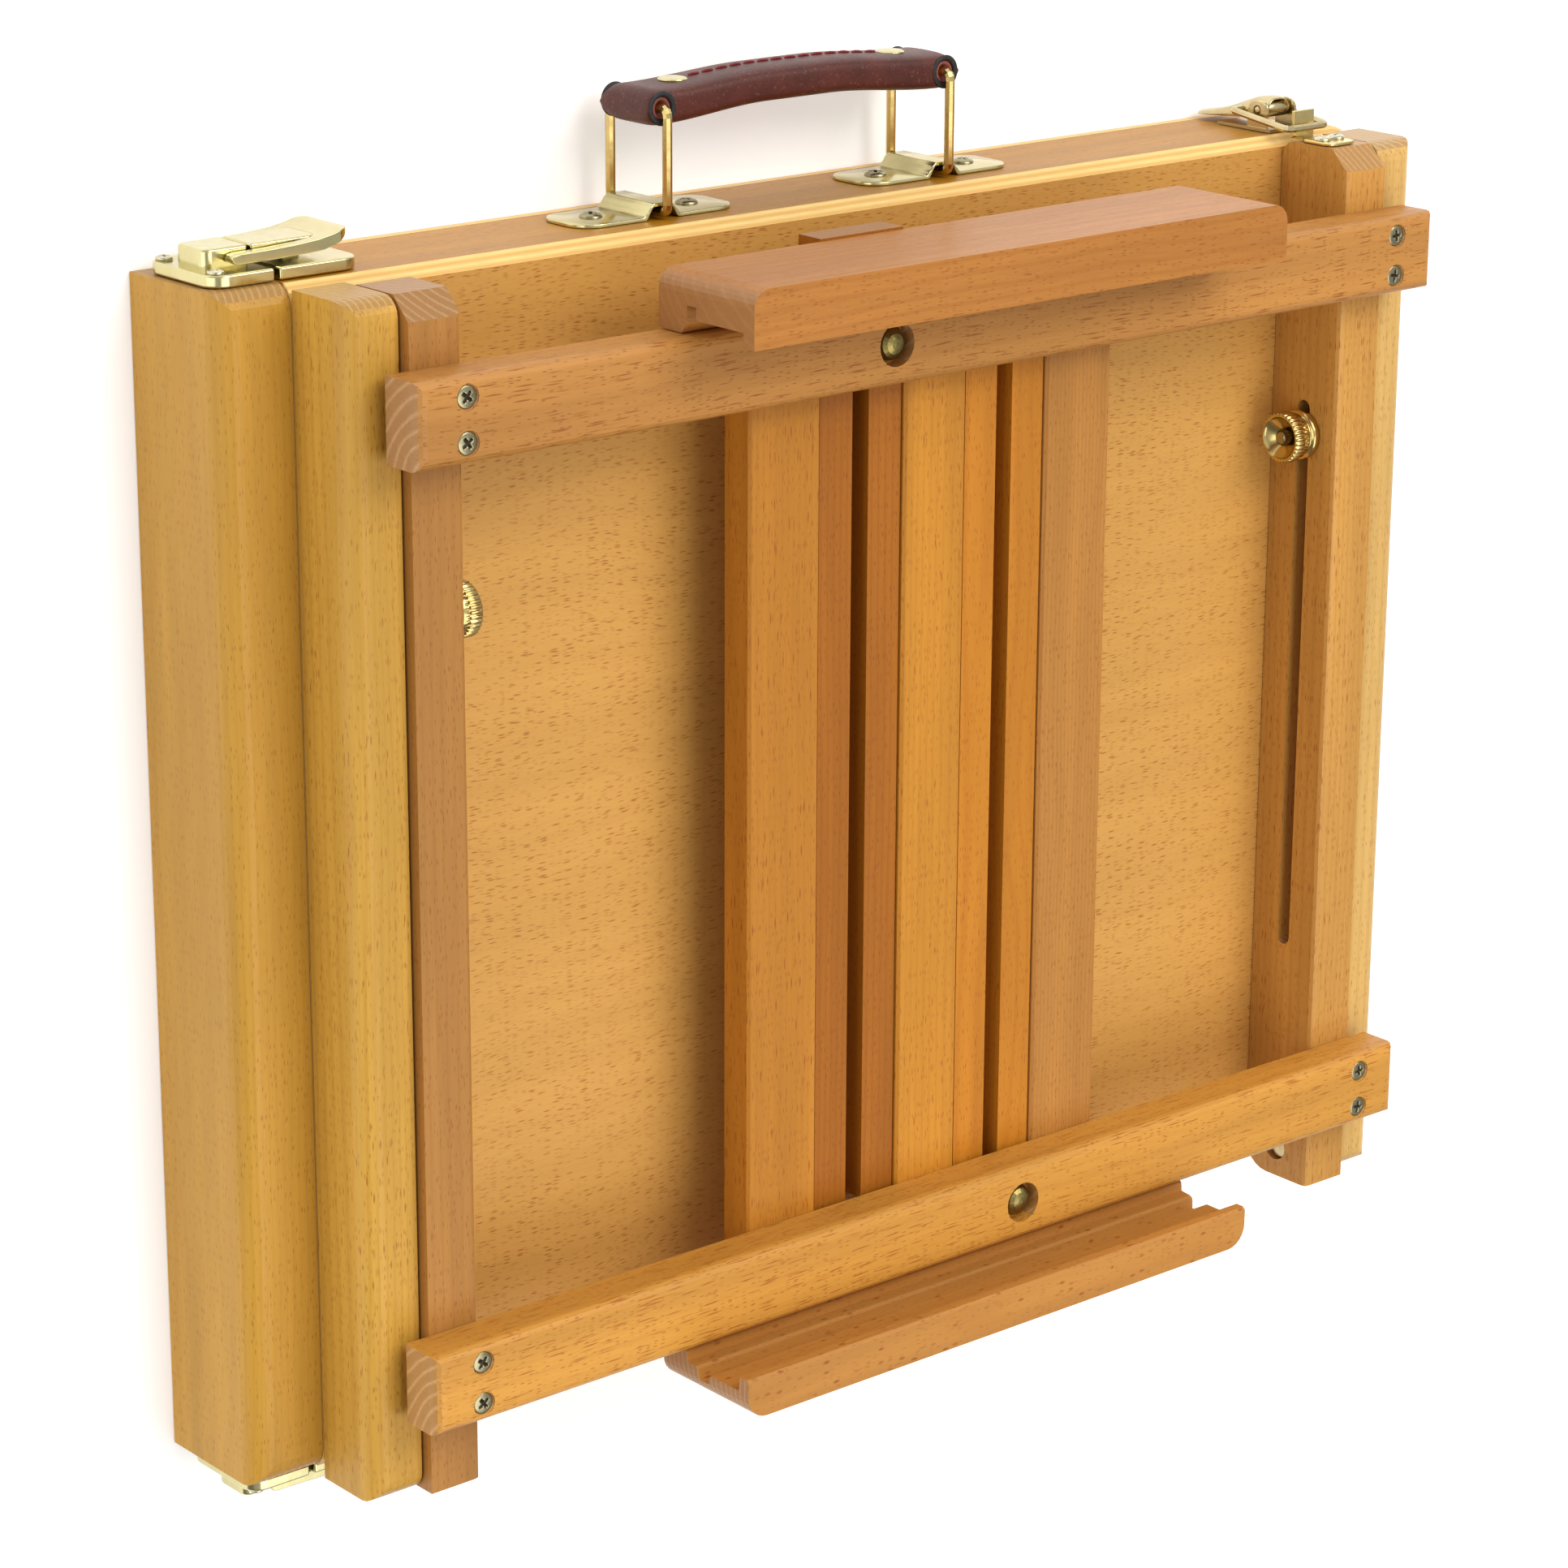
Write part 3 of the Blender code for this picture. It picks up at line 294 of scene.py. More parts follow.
def wood(name, grain, tint, seed=0.0, pith=(0.03, 0.05), pitch=2.6, rings=0.35, flecks=0.45, fleck_length=3.2,
         fibre=0.5, wave=1.0, fleck_cells=900.0, dashes=0.7, cloud=1.0, end_rings=1.0, plies=False):
    """Lacquered beech.

    grain is the axis along the fibres. pith is where the growth rings centre, in metres across the grain, and pitch
    is their spacing in millimetres. rings, flecks, dashes, fibre, cloud and end_rings say how strongly each part of
    the figure shows, and wave how far the fibres wander. fleck_length is in millimetres, and there are fleck_cells
    places for a fleck to a metre across. plies shows pale layers on a panel's cut edges.
    """
    p = Paint(name)
    x, y, z = p.split(p.place)
    along, b, c = {"X": (x, y, z), "Y": (y, x, z), "Z": (z, x, y)}[grain]
    along = p.plus(along, seed)
    b = p.plus(b, seed * SEED_ACROSS)

    # the fibres wander a little
    drift = p.noise(p.stretch(along, b, c, 5.0, 14.0))
    drift = p.times(p.minus(drift, 0.5), 0.010 * wave)
    b2, c2 = p.plus(b, drift), p.plus(c, drift)

    # growth rings about the pith
    away = p.length(p.join(p.minus(b2, pith[0] + seed * SEED_ACROSS), p.minus(c2, pith[1]), 0.0))
    uneven = p.noise(p.stretch(along, b, c, 2.0, 60.0), detail=1.0)
    ring = p.plus(p.times(away, 2 * math.pi / (pitch * MM)), p.times(uneven, 5.0))
    ring = p.math("POWER", p.swing(ring), 3.5)

    # broad streaks, fine fibres, the dark flecks of the rays and the finer dashes between them
    streak = p.noise(p.stretch(along, b2, c2, 3.5, 55.0), detail=3.0, rough=0.6)
    fine = p.noise(p.stretch(along, b2, c2, 70.0, 1300.0), detail=3.0, rough=0.65)
    fleck = p.specks(p.stretch(along, b2, c2, 1 / (2.0 * fleck_length * MM), fleck_cells),
                     0.12, 0.40, 1.0 - flecks, 1.0 - flecks + 0.5)
    dash = p.specks(p.stretch(p.plus(along, DASH_SHIFT), b2, c2, 1 / (DASH_LENGTH * MM), DASH_CELLS),
                    0.14, 0.42, 0.35, 0.75)
    crowd = p.noise(p.stretch(along, b, c, 12.0, 30.0))
    fleck = p.times(fleck, p.step(crowd, 0.15, 0.5))

    def toned(red, green, blue):
        return (tint[0] * red, tint[1] * green, tint[2] * blue)

    colour = p.mix(p.step(streak, 0.28, 0.72), shade(tint, 1 + 0.10 * cloud), shade(tint, 1 - 0.14 * cloud))
    colour = p.mix(p.times(ring, rings), colour, toned(0.74, 0.60, 0.42))
    haze = p.step(fine, 0.25, 0.75)
    colour = p.mix(p.times(haze, 0.34 * fibre), colour, toned(0.72, 0.58, 0.42))
    colour = p.mix(p.times(fleck, 0.90), colour, toned(0.60, 0.38, 0.26))
    colour = p.mix(p.times(dash, dashes), colour, toned(0.62, 0.44, 0.34))

    # end grain: the rings show plainly, with fine rays across them
    end = p.step(p.math("ABSOLUTE", p.split(p.normal)["XYZ".index(grain)]), 0.48, 0.66)
    rays = p.noise(p.stretch(along, b, c, 60.0, 900.0), detail=3.0, rough=0.7)
    dull = (tint[0] * 0.45 + 0.17, tint[1] * 0.45 + 0.09, tint[2] * 0.5 + 0.040)
    pale = (tint[0] * 0.6 + 0.22, tint[1] * 0.6 + 0.16, tint[2] * 0.8 + 0.085)
    end_colour = p.mix(p.times(p.math("POWER", ring, 1.6), end_rings), dull, pale)
    end_colour = p.mix(p.times(p.step(rays, 0.35, 0.75), 0.35), end_colour, shade(dull, 0.72))
    colour = p.mix(end, colour, end_colour)

    if plies:
        cut_edge = p.minus(1.0, p.step(p.math("ABSOLUTE", p.split(p.normal)[2]), 0.80, 0.92))
        layer = p.swing(p.times(z, 2 * math.pi / PLY_THICKNESS))
        edge_colour = p.mix(layer, (0.93, 0.68, 0.26), (0.80, 0.46, 0.13))
        edge_colour = p.mix(p.times(haze, 0.30), edge_colour, (0.62, 0.36, 0.11))
        colour = p.mix(cut_edge, colour, edge_colour)

    pores = p.plus(p.times(fleck, 0.8), p.times(dash, 0.4))
    p.bump(p.minus(p.times(fine, 0.5), pores), 0.00012, 0.55)
    p.set(Base_Color=colour, Roughness=p.plus(p.times(fine, 0.16), 0.34))
    p.set(Specular_IOR_Level=0.26, Coat_Weight=0.05, Coat_Roughness=0.20)
    return p.material


def metal(name, colour, dark, rough=0.22, mottle=0.4, scale=260.0):
    """Brushed metal with darker clouds. mottle is how strongly they show, and scale how fine they are."""
    p = Paint(name)
    cloud = p.noise(p.place, scale, 4.0, 0.6)
    patch = p.noise(p.place, scale * 0.25)
    x, y, z = p.split(p.place)
    brushed = p.noise(p.stretch(x, y, z, 300.0, 2500.0), rough=0.6)
    worn = p.times(p.step(cloud, 0.42, 0.68), mottle)
    tone = p.mix(worn, colour, dark)
    tone = p.mix(p.times(p.step(patch, 0.4, 0.8), mottle * 0.5), tone, shade(dark, 1.3))
    p.set(Base_Color=tone, Metallic=1.0, Roughness=p.plus(p.times(cloud, 0.22), rough - 0.08))
    p.bump(p.plus(p.times(brushed, 0.5), cloud), 0.00003, 0.15)
    return p.material


def leather(name, tint):
    p = Paint(name)
    pore, pick = p.cells(p.place, 1500.0)
    cloud = p.noise(p.place, 60.0, 3.0, 0.6)
    grain = p.noise(p.place, 2600.0, 2.0, 0.6)
    wrinkle = p.noise(p.place, 240.0, 3.0, 0.55)
    tone = p.mix(p.step(cloud, 0.3, 0.75), shade(tint, 1.25), shade(tint, 0.72))
    tone = p.mix(p.times(p.step(pore, 0.35, 0.7), 0.35), tone, shade(tint, 0.45))
    tone = p.mix(p.times(p.step(pick, 0.92, 1.0), 0.25), tone, (0.30, 0.13, 0.08))
    height = p.plus(p.times(pore, -0.6), p.times(grain, 0.35))
    p.bump(p.plus(height, p.times(wrinkle, 1.2)), 0.00016, 0.5)
    p.set(Base_Color=tone, Roughness=p.plus(p.times(cloud, 0.14), 0.38))
    p.set(Specular_IOR_Level=0.30, Coat_Weight=0.04, Coat_Roughness=0.35)
    return p.material


def edge_dye(name, tint):
    """The blackened cut edge of the leather, rough and slightly cracked."""
    p = Paint(name)
    grit = p.noise(p.place, 900.0, 4.0, 0.7)
    p.set(Base_Color=p.mix(p.step(grit, 0.45, 0.8), tint, shade(tint, 3.2)), Roughness=0.62)
    p.bump(grit, 0.0002, 0.7)
    return p.material


def thread(name, tint):
    """Twisted sewing thread, with painted shade in the grooves between its twists."""
    p = Paint(name)
    x, _, z = p.split(p.place)
    twist = p.math("SINE", p.plus(p.times(x, 5200.0), p.times(z, 5200.0)))
    fuzz = p.noise(p.place, 4000.0, 2.0, 0.6)
    # darker where the twist wave is low, in the grooves that the bump also sinks: painted shade, not the thread's own
    # colour
    p.set(Base_Color=p.mix(p.step(twist, -0.6, 0.8), shade(tint, 0.55), tint), Roughness=0.75)
    p.bump(p.plus(twist, fuzz), 0.00008, 0.6)
    return p.material


BRIGHT = metal("brass_polished", (0.64, 0.575, 0.30), (0.46, 0.39, 0.17), 0.17, 0.12)
GOLD = metal("brass_golden", (0.64, 0.49, 0.19), (0.40, 0.28, 0.09), 0.17, 0.18)
GOLD_PALE = metal("brass_yellow_plate", (0.80, 0.66, 0.30), (0.50, 0.38, 0.14), 0.24, 0.35)
OLIVE = metal("brass_olive_dull", (0.30, 0.235, 0.075), (0.15, 0.115, 0.04), 0.30, 0.5, 300.0)
ANTIQUE = metal("brass_antique_worn", (0.60, 0.50, 0.28), (0.36, 0.28, 0.14), 0.20, 0.30, 120.0)
SCREW = metal("screw_bronze", (0.36, 0.32, 0.19), (0.22, 0.18, 0.10), 0.24, 0.25, 420.0)
# near-black metal for the faces inside a screw's cross recess: painted shade in the recess, not the metal's own colour
RECESS_SHADE = metal("screw_recess", (0.06, 0.05, 0.03), (0.03, 0.025, 0.02), 0.45, 0.4, 420.0)
PAN = metal("screw_nickel_brass", (0.62, 0.58, 0.42), (0.40, 0.35, 0.22), 0.20, 0.20, 420.0)
ZINC = metal("steel_zinc_plate", (0.62, 0.60, 0.55), (0.34, 0.33, 0.31), 0.34, 0.5, 320.0)
HIDE = leather("leather_burgundy", (0.090, 0.019, 0.012))
LINING = leather("leather_lining", (0.30, 0.09, 0.065))
DYE = edge_dye("leather_edge_dye", (0.012, 0.012, 0.013))
THREAD = thread("thread_red", (0.30, 0.016, 0.022))

HONEY = (0.60, 0.285, 0.072)        # plain lacquered beech
FAR_PITH = dict(pith=(0.5, 0.9), pitch=9.0)      # a peeled or flat-sawn face with hardly any ring lines
RAIL = dict(rings=0.15, flecks=0.85, fleck_length=7.0, fleck_cells=1050.0, dashes=0.9)

# node: grain, tint, and what differs from plain beech
WOOD_OF = {
    "case_lid_panel": ("X", (0.65, 0.34, 0.080), dict(
        FAR_PITH, seed=0.31, rings=0.06, flecks=0.85, fleck_length=2.9, wave=2.4, cloud=0.35, fleck_cells=1150.0,
        dashes=0.5, plies=True)),
    "case_back_panel": ("X", HONEY, dict(FAR_PITH, seed=0.77, rings=0.10, flecks=0.8, wave=2.2, plies=True)),
    "case_handle_side_board": ("X", (0.47, 0.207, 0.008), dict(seed=0.12, rings=0.12, flecks=0.5)),
    "case_far_side_board": ("X", HONEY, dict(seed=1.12, rings=0.18, flecks=0.5)),
    "case_end_board": ("Y", HONEY, dict(seed=0.45, rings=0.25, flecks=0.5)),
    "drawer_front": ("Y", (0.545, 0.287, 0.036), dict(seed=0.91, rings=0.16, flecks=0.22, pith=(-0.34, 0.02))),
    "side_rail_left": ("Y", (0.60, 0.33, 0.050), dict(seed=0.52, rings=0.28, flecks=0.50, pith=(-0.29, 0.085))),
    "side_rail_right": ("Y", (0.68, 0.42, 0.13), dict(seed=0.63, rings=0.25, flecks=0.35, pith=(0.27, 0.03))),
    "frame_arm_left": ("Y", (0.43, 0.195, 0.043), dict(seed=0.23, rings=0.20, flecks=0.30, pith=(-0.18, 0.04))),
    "frame_arm_right": ("Y", (0.61, 0.305, 0.066), dict(seed=0.36, rings=0.30, flecks=0.55, pith=(0.17, 0.10))),
    "cross_rail_upper": ("X", (0.505, 0.229, 0.052), dict(RAIL, seed=0.19, pith=(0.143, 0.120), pitch=4.6)),
    "cross_rail_lower": ("X", (0.655, 0.310, 0.051), dict(RAIL, seed=0.84, pith=(-0.198, 0.126), pitch=4.2)),
    "mast_stile_left": ("Y", (0.52, 0.208, 0.021), dict(seed=0.58, rings=0.20, flecks=0.60, fleck_length=4.0)),
    "mast_stile_right": ("Y", (0.48, 0.212, 0.043), dict(seed=0.67, rings=0.34, flecks=0.22, pith=(0.02, 0.08),
                                                         pitch=1.9)),
    "mast_centre_guide": ("Y", (0.58, 0.243, 0.024), dict(seed=0.73, rings=0.24, flecks=0.40, pitch=2.0)),
    "clamp_bar": ("Y", (0.385, 0.126, 0.0085), dict(seed=0.27, flecks=0.25)),
    "tray_bar": ("Y", (0.56, 0.211, 0.016), dict(seed=0.49, rings=0.30, flecks=0.35)),
    "canvas_clamp": ("X", (0.47, 0.19, 0.037), dict(seed=0.15, rings=0.34, flecks=0.36, fibre=0.9, wave=1.6,
                                                    pith=(0.240, 0.152), pitch=4.4, end_rings=0.25)),
    "canvas_tray": ("X", (0.53, 0.235, 0.048), dict(seed=0.95, rings=0.18, flecks=0.55, fleck_length=2.6,
                                                    fleck_cells=430.0, dashes=0.5, pith=(-0.19, 0.02))),
    "palette": ("X", (0.62, 0.32, 0.10), dict(FAR_PITH, seed=1.31, rings=0.10, flecks=0.7, wave=2.0, plies=True)),
    "drawer_back": ("Y", HONEY, dict(seed=1.42)),
    "drawer_bottom": ("X", (0.64, 0.36, 0.13), dict(seed=1.51, rings=0.10, flecks=0.7, plies=True)),
    "drawer_cross_divider": ("Y", HONEY, dict(seed=1.63)),
    "drawer_far_side": ("X", HONEY, dict(seed=1.74)),
    "drawer_handle_side": ("X", HONEY, dict(seed=1.85)),
    "drawer_long_divider": ("X", HONEY, dict(seed=1.96)),
}
METAL_OF = {"brass_bright": BRIGHT, "brass_gold": GOLD, "brass_antique": ANTIQUE, "steel_zinc": ZINC,
            "leather": HIDE}


def dress(thing, material):
    thing.data.materials.clear()
    thing.data.materials.append(material)


def dress_frame():
    """Gives every CAD node its material."""
    for name, thing in NODES.items():
        if name in WOOD_OF:
            board_grain, tint, rest = WOOD_OF[name]
            dress(thing, wood(f"beech_{name}", board_grain, tint, **rest))
        else:
            slot = thing.data.materials[0].name.split(".")[0]
            dress(thing, OLIVE if name.endswith("_bolt") else METAL_OF[slot])


# ---------------------------------------------------------------- mesh helpers

def make_piece(name, points, faces, material):
    """A closed, smooth-shaded mesh from points in millimetres."""
    mesh = bpy.data.meshes.new(name)
    mesh.from_pydata([tuple(Vector(p) * MM) for p in points], [], faces)
    work = bmesh.new()
    work.from_mesh(mesh)
    bmesh.ops.remove_doubles(work, verts=work.verts, dist=1e-7)
    bmesh.ops.recalc_face_normals(work, faces=work.faces)
    for face in work.faces:
        face.smooth = True
    work.to_mesh(mesh)
    work.free()
    mesh.materials.append(material)
    thing = bpy.data.objects.new(name, mesh)
    bpy.context.scene.collection.objects.link(thing)
    return thing


def settle(thing):
    """Replaces the mesh by the result of its modifiers."""
    graph = bpy.context.evaluated_depsgraph_get()
    graph.update()
    mesh = bpy.data.meshes.new_from_object(thing.evaluated_get(graph), depsgraph=graph)
    thing.modifiers.clear()
    thing.data = mesh
    return thing


BEVEL_ANGLE = math.radians(35.0)


def soften(thing, width, segments=3):
    """Rounds every edge that turns more than BEVEL_ANGLE."""
    bevel = thing.modifiers.new("bevel", "BEVEL")
    bevel.width = width * MM
    bevel.segments = segments
    bevel.limit_method = "ANGLE"
    bevel.angle_limit = BEVEL_ANGLE
    bevel.use_clamp_overlap = True
    normals = thing.modifiers.new("normals", "WEIGHTED_NORMAL")
    normals.keep_sharp = True
    return settle(thing)


def carve(thing, *tools):
    """Cuts the tools out of a piece and deletes them."""
    for tool in tools:
        boolean = thing.modifiers.new("cut", "BOOLEAN")
        boolean.object, boolean.operation, boolean.solver = tool, "DIFFERENCE", "EXACT"
        settle(thing)
        bpy.data.objects.remove(tool)


def merge(name, *things):
    """One piece from several meshes that touch."""
    first = things[0]
    work = bmesh.new()
    for thing in things:
        start = len(work.faces)
        work.from_mesh(thing.data)
        work.faces.ensure_lookup_table()
        for face in work.faces[start:]:
            face.smooth = True
    work.to_mesh(first.data)
    work.free()
    first.name = name
    for thing in things[1:]:
        bpy.data.objects.remove(thing)
    return first


def extrude(name, outline, low, high, axis, material):
    """A prism of an outline, extruded along axis. The outline holds the two other coordinates, in order."""
    index = "XYZ".index(axis)

    def at(pair, value):
        pair = list(pair)
        pair.insert(index, value)
        return pair
    count = len(outline)
    points = [at(p, low) for p in outline] + [at(p, high) for p in outline]
    faces = [tuple(range(count))[::-1], tuple(range(count, 2 * count))]
    faces += [(i, (i + 1) % count, count + (i + 1) % count, count + i) for i in range(count)]
    return make_piece(name, points, faces, material)


def rounded(x0, x1, z0, z1, radii, steps=6):
    """A rectangle's outline with its four corner radii, from (x0, z0) round to (x0, z1)."""
    corners = [(x0, z0, 180), (x1, z0, 270), (x1, z1, 0), (x0, z1, 90)]
    outline = []
    for (x, z, start), radius in zip(corners, radii):
        cx = x + radius * (1 if x == x0 else -1)
        cz = z + radius * (1 if z == z0 else -1)
        if radius == 0:
            outline.append((x, z))
            continue
        for i in range(steps + 1):
            angle = math.radians(start + 90 * i / steps)
            outline.append((cx + radius * math.cos(angle), cz + radius * math.sin(angle)))
    return outline


def lathe(name, profile, place, axis, material, segments=48):
    """A turned piece: profile holds (distance along the axis, radius)."""
    ring_points = []
    for along, radius in profile:
        for i in range(segments):
            angle = 2 * math.pi * i / segments
            ring_points.append((along, radius * math.cos(angle), radius * math.sin(angle)))
    faces = []
    for row in range(len(profile) - 1):
        for i in range(segments):
            j = (i + 1) % segments
            a, b = row * segments, (row + 1) * segments
            faces.append((a + i, a + j, b + j, b + i))
    faces.append(tuple(range(segments))[::-1])
    last = (len(profile) - 1) * segments
    faces.append(tuple(range(last, last + segments)))
    order = {"X": (0, 1, 2), "Y": (1, 0, 2), "Z": (1, 2, 0)}[axis]
    points = [tuple(p[i] + centre for i, centre in zip(order, place)) for p in ring_points]
    return make_piece(name, points, faces, material)


TUBE_SIDES, TUBE_TIP = 8, 0.55


def tube(name, path, radius, material):
    """A round thread along a path, with narrower closed ends."""
    sides = TUBE_SIDES
    path = [Vector(p) for p in path]
    points, faces = [], []
    side = None
    for i, p in enumerate(path):
        ahead = (path[min(i + 1, len(path) - 1)] - path[max(i - 1, 0)]).normalized()
        if side is None:
            side = ahead.orthogonal().normalized()
        side = (side - ahead * side.dot(ahead)).normalized()
        other = ahead.cross(side)
        taper = radius * (TUBE_TIP if i in (0, len(path) - 1) else 1.0)
        for k in range(sides):
            angle = 2 * math.pi * k / sides
            points.append(p + taper * (math.cos(angle) * side + math.sin(angle) * other))
    for i in range(len(path) - 1):
        for k in range(sides):
            a, b = i * sides, (i + 1) * sides
            faces.append((a + k, a + (k + 1) % sides, b + (k + 1) % sides, b + k))
    faces.append(tuple(range(sides))[::-1])
    last = (len(path) - 1) * sides
    faces.append(tuple(range(last, last + sides)))
    return make_piece(name, points, faces, material)


def smooth_all(thing):
    for face in thing.data.polygons:
        face.use_smooth = True


def ride_with(thing, body):
    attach(thing, body)


def torus_like(name, section, place, material, segments=40, axis="Z", knurl=None):
    """A ring from a closed section of (distance along the axis, radius).

    knurl is (first row, last row, depth, teeth): between those rows of the section the ring is toothed.
    """
    points, faces = [], []
    count = len(section)
    for i in range(segments):
        angle = 2 * math.pi * i / segments
        for row, (along, radius) in enumerate(section):
            if knurl and knurl[0] <= row <= knurl[1]:
                radius -= knurl[2] * (0.5 - 0.5 * math.cos(angle * knurl[3]))
            p = (radius * math.cos(angle), radius * math.sin(angle), along)
            if axis == "Y":
                p = (p[0], p[2], p[1])
            if axis == "X":
                p = (p[2], p[0], p[1])
            points.append([a + b for a, b in zip(p, place)])
    for i in range(segments):
        j = (i + 1) % segments
        for k in range(count):
            m = (k + 1) % count
            faces.append((i * count + k, i * count + m, j * count + m, j * count + k))
    return make_piece(name, points, faces, material)


def ring_piece(name, outer, bore, place, material):
    """A sleeve with an outer profile and a plain bore."""
    section = outer + [(outer[-1][0] - 0.2, bore), (outer[0][0] + 0.2, bore)]
    return torus_like(name, section, place, material)


def corner_outline(x, z, radius, s):
    """The waste outside a rounded corner whose tip is at (x, z)."""
    outline = [(x + 2, z + s * 2), (x + 2, z - s * radius), (x, z - s * radius)]
    for i in range(1, 8):
        angle = math.radians(90 * i / 8)
        outline.append((x - radius + radius * math.cos(angle), z - s * radius + s * radius * math.sin(angle)))
    outline += [(x - radius, z), (x - radius, z + s * 2)]
    return outline


# ---------------------------------------------------------------- screws

RECESS_ARM, RECESS_REACH, RECESS_SLOPE = 0.15, 0.58, 0.07      # shares of the head's radius
SCREW_GRID = 30


def screw(name, place, axis, sign, radius, height, material, turn=0.0, shank=None, dome=0.55):
    """A cross-recess screw.

    The head's rim is at place, and the head rises by height along sign * axis. dome is how flat it is, from 0 for a
    full dome to 1 for a disc. shank is (radius, length).
    """
    arm, reach = RECESS_ARM * radius, RECESS_REACH * radius
    depth = 0.62 * height + 0.10 * radius
    grid = SCREW_GRID
    points, faces, recess_shade_points = [], [], set()
    for i in range(grid + 1):
        for k in range(grid + 1):
            u, v = 2 * i / grid - 1, 2 * k / grid - 1
            x, y = u * math.sqrt(1 - v * v / 2) * radius, v * math.sqrt(1 - u * u / 2) * radius
            share = min(1.0, math.hypot(x, y) / radius)
            top = height * (dome + (1 - dome) * math.sqrt(max(0.0, 1 - share ** 2.4)))
            inside = max(min(arm - abs(x), reach - abs(y)), min(arm - abs(y), reach - abs(x)))
            top -= depth * min(1.0, max(0.0, inside / (RECESS_SLOPE * radius)))
            # points inside the cross recess; their faces get the near-black second material below, which is painted
            # shade
            if inside > -0.02 * radius:
                recess_shade_points.add(len(points))
            points.append((x, y, top))
    row = grid + 1
    for i in range(grid):
        for k in range(grid):
            faces.append((i * row + k, (i + 1) * row + k, (i + 1) * row + k + 1, i * row + k + 1))
    rim = [(0, k) for k in range(grid)] + [(i, grid) for i in range(grid)]
    rim += [(grid, k) for k in range(grid, 0, -1)] + [(i, 0) for i in range(grid, 0, -1)]
    loop = [i * row + k for i, k in rim]
    levels = [(1.0, 0.0)]
    if shank:
        levels += [(shank[0] / radius, -(radius - shank[0]) * 0.9), (shank[0] / radius, -shank[1])]
    for share, level in levels:
        start = len(points)
        for i, k in rim:
            x, y, _ = points[i * row + k]
            points.append((x * share, y * share, level))
        count = len(rim)
        faces += [(loop[j], loop[(j + 1) % count], start + (j + 1) % count, start + j) for j in range(count)]
        loop = list(range(start, start + count))
    faces.append(tuple(loop))
    cos, sin = math.cos(turn), math.sin(turn)
    placed = []
    for x, y, z in points:
        x, y, z = x * cos - y * sin, x * sin + y * cos, z * sign
        local = {"Z": (x, y, z), "Y": (x, z, y), "X": (z, x, y)}[axis]
        placed.append([a + b for a, b in zip(local, place)])
    thing = make_piece(name, placed, faces, material)
    # the faces inside the cross recess take the near-black second material: painted shade in the recess
    thing.data.materials.append(RECESS_SHADE)
    for face in thing.data.polygons:
        if recess_shade_points.issuperset(face.vertices):
            face.material_index = 1
    return thing


RAIL_SCREW_RADIUS, RAIL_SCREW_RISE, RAIL_SCREW_SINK, RAIL_SHANK = 3.85, 0.85, 0.9, 1.8


def make_rail_screws():
    for level in ("upper", "lower"):
        for side in ("left", "right"):
            for index, which in enumerate("ab"):
                node = f"rail_screw_{level}_{side}_{which}"
                low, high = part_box(node)
                centre = (low + high) / 2 / MM
                thing = screw(f"{node}_head", (centre.x, centre.y, high.z / MM - RAIL_SCREW_SINK), "Z", 1,
                              RAIL_SCREW_RADIUS, RAIL_SCREW_RISE, SCREW,
                              turn=0.5 + 1.3 * index + 0.4 * centre.x,
                              shank=(RAIL_SHANK, high.z / MM - low.z / MM - 1.0), dome=0.45)
                ride_with(thing, "frame")
                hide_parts(node)


# ---------------------------------------------------------------- leather handle

GRIP_LOW, GRIP_HIGH = (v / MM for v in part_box("handle_grip"))
GRIP_X = (GRIP_LOW.x + GRIP_HIGH.x) / 2
GRIP_Z = (GRIP_LOW.z + GRIP_HIGH.z) / 2
GRIP_HALF = (GRIP_HIGH.x - GRIP_LOW.x) / 2
BAR_X, BAR_Y = 64.5, 245.5      # the loops' upper bars: BAR_X runs from the grip's middle
GRIP_BLEND = 50.0               # how far from a bar the grip takes to reach its full height
GRIP_TOP_GAP, GRIP_BELLY = 1.1, 13.8
GRIP_ROWS, GRIP_AROUND = 92, 56
EYE_RADIUS, LINING_BORE = 4.3, 2.7
RIVET_X = 49.5
STITCH_PITCH, STITCH_COUNT, STITCH_LENGTH, STITCH_RADIUS, STITCH_STEPS = 6.2, 14, 5.0, 0.46, 8


def grip_section(x):
    """Half height, half width, middle height and squareness of the grip at x from its middle."""
    x = abs(x)
    end_radius = GRIP_HALF - BAR_X
    blend = min(1.0, max(0.0, (BAR_X - x) / GRIP_BLEND))
    blend = blend * blend * (3 - 2 * blend)
    top = (BAR_Y + end_radius) * (1 - blend) + (GRIP_HIGH.y - GRIP_TOP_GAP - 0.00018 * x * x) * blend
    bottom = (BAR_Y - end_radius) * (1 - blend) + (GRIP_HIGH.y - GRIP_BELLY) * blend
    half_height, middle = (top - bottom) / 2, (top + bottom) / 2
    if x > BAR_X:
        half_height *= math.sqrt(max(0.0, 1 - ((x - BAR_X) / end_radius) ** 2))
    half_width = 13.2 - 0.9 * blend
    return half_height, half_width, middle, 5.0 - 0.8 * blend


def grip_top(x):
    half_height, _, middle, _ = grip_section(x)
    return middle + half_height


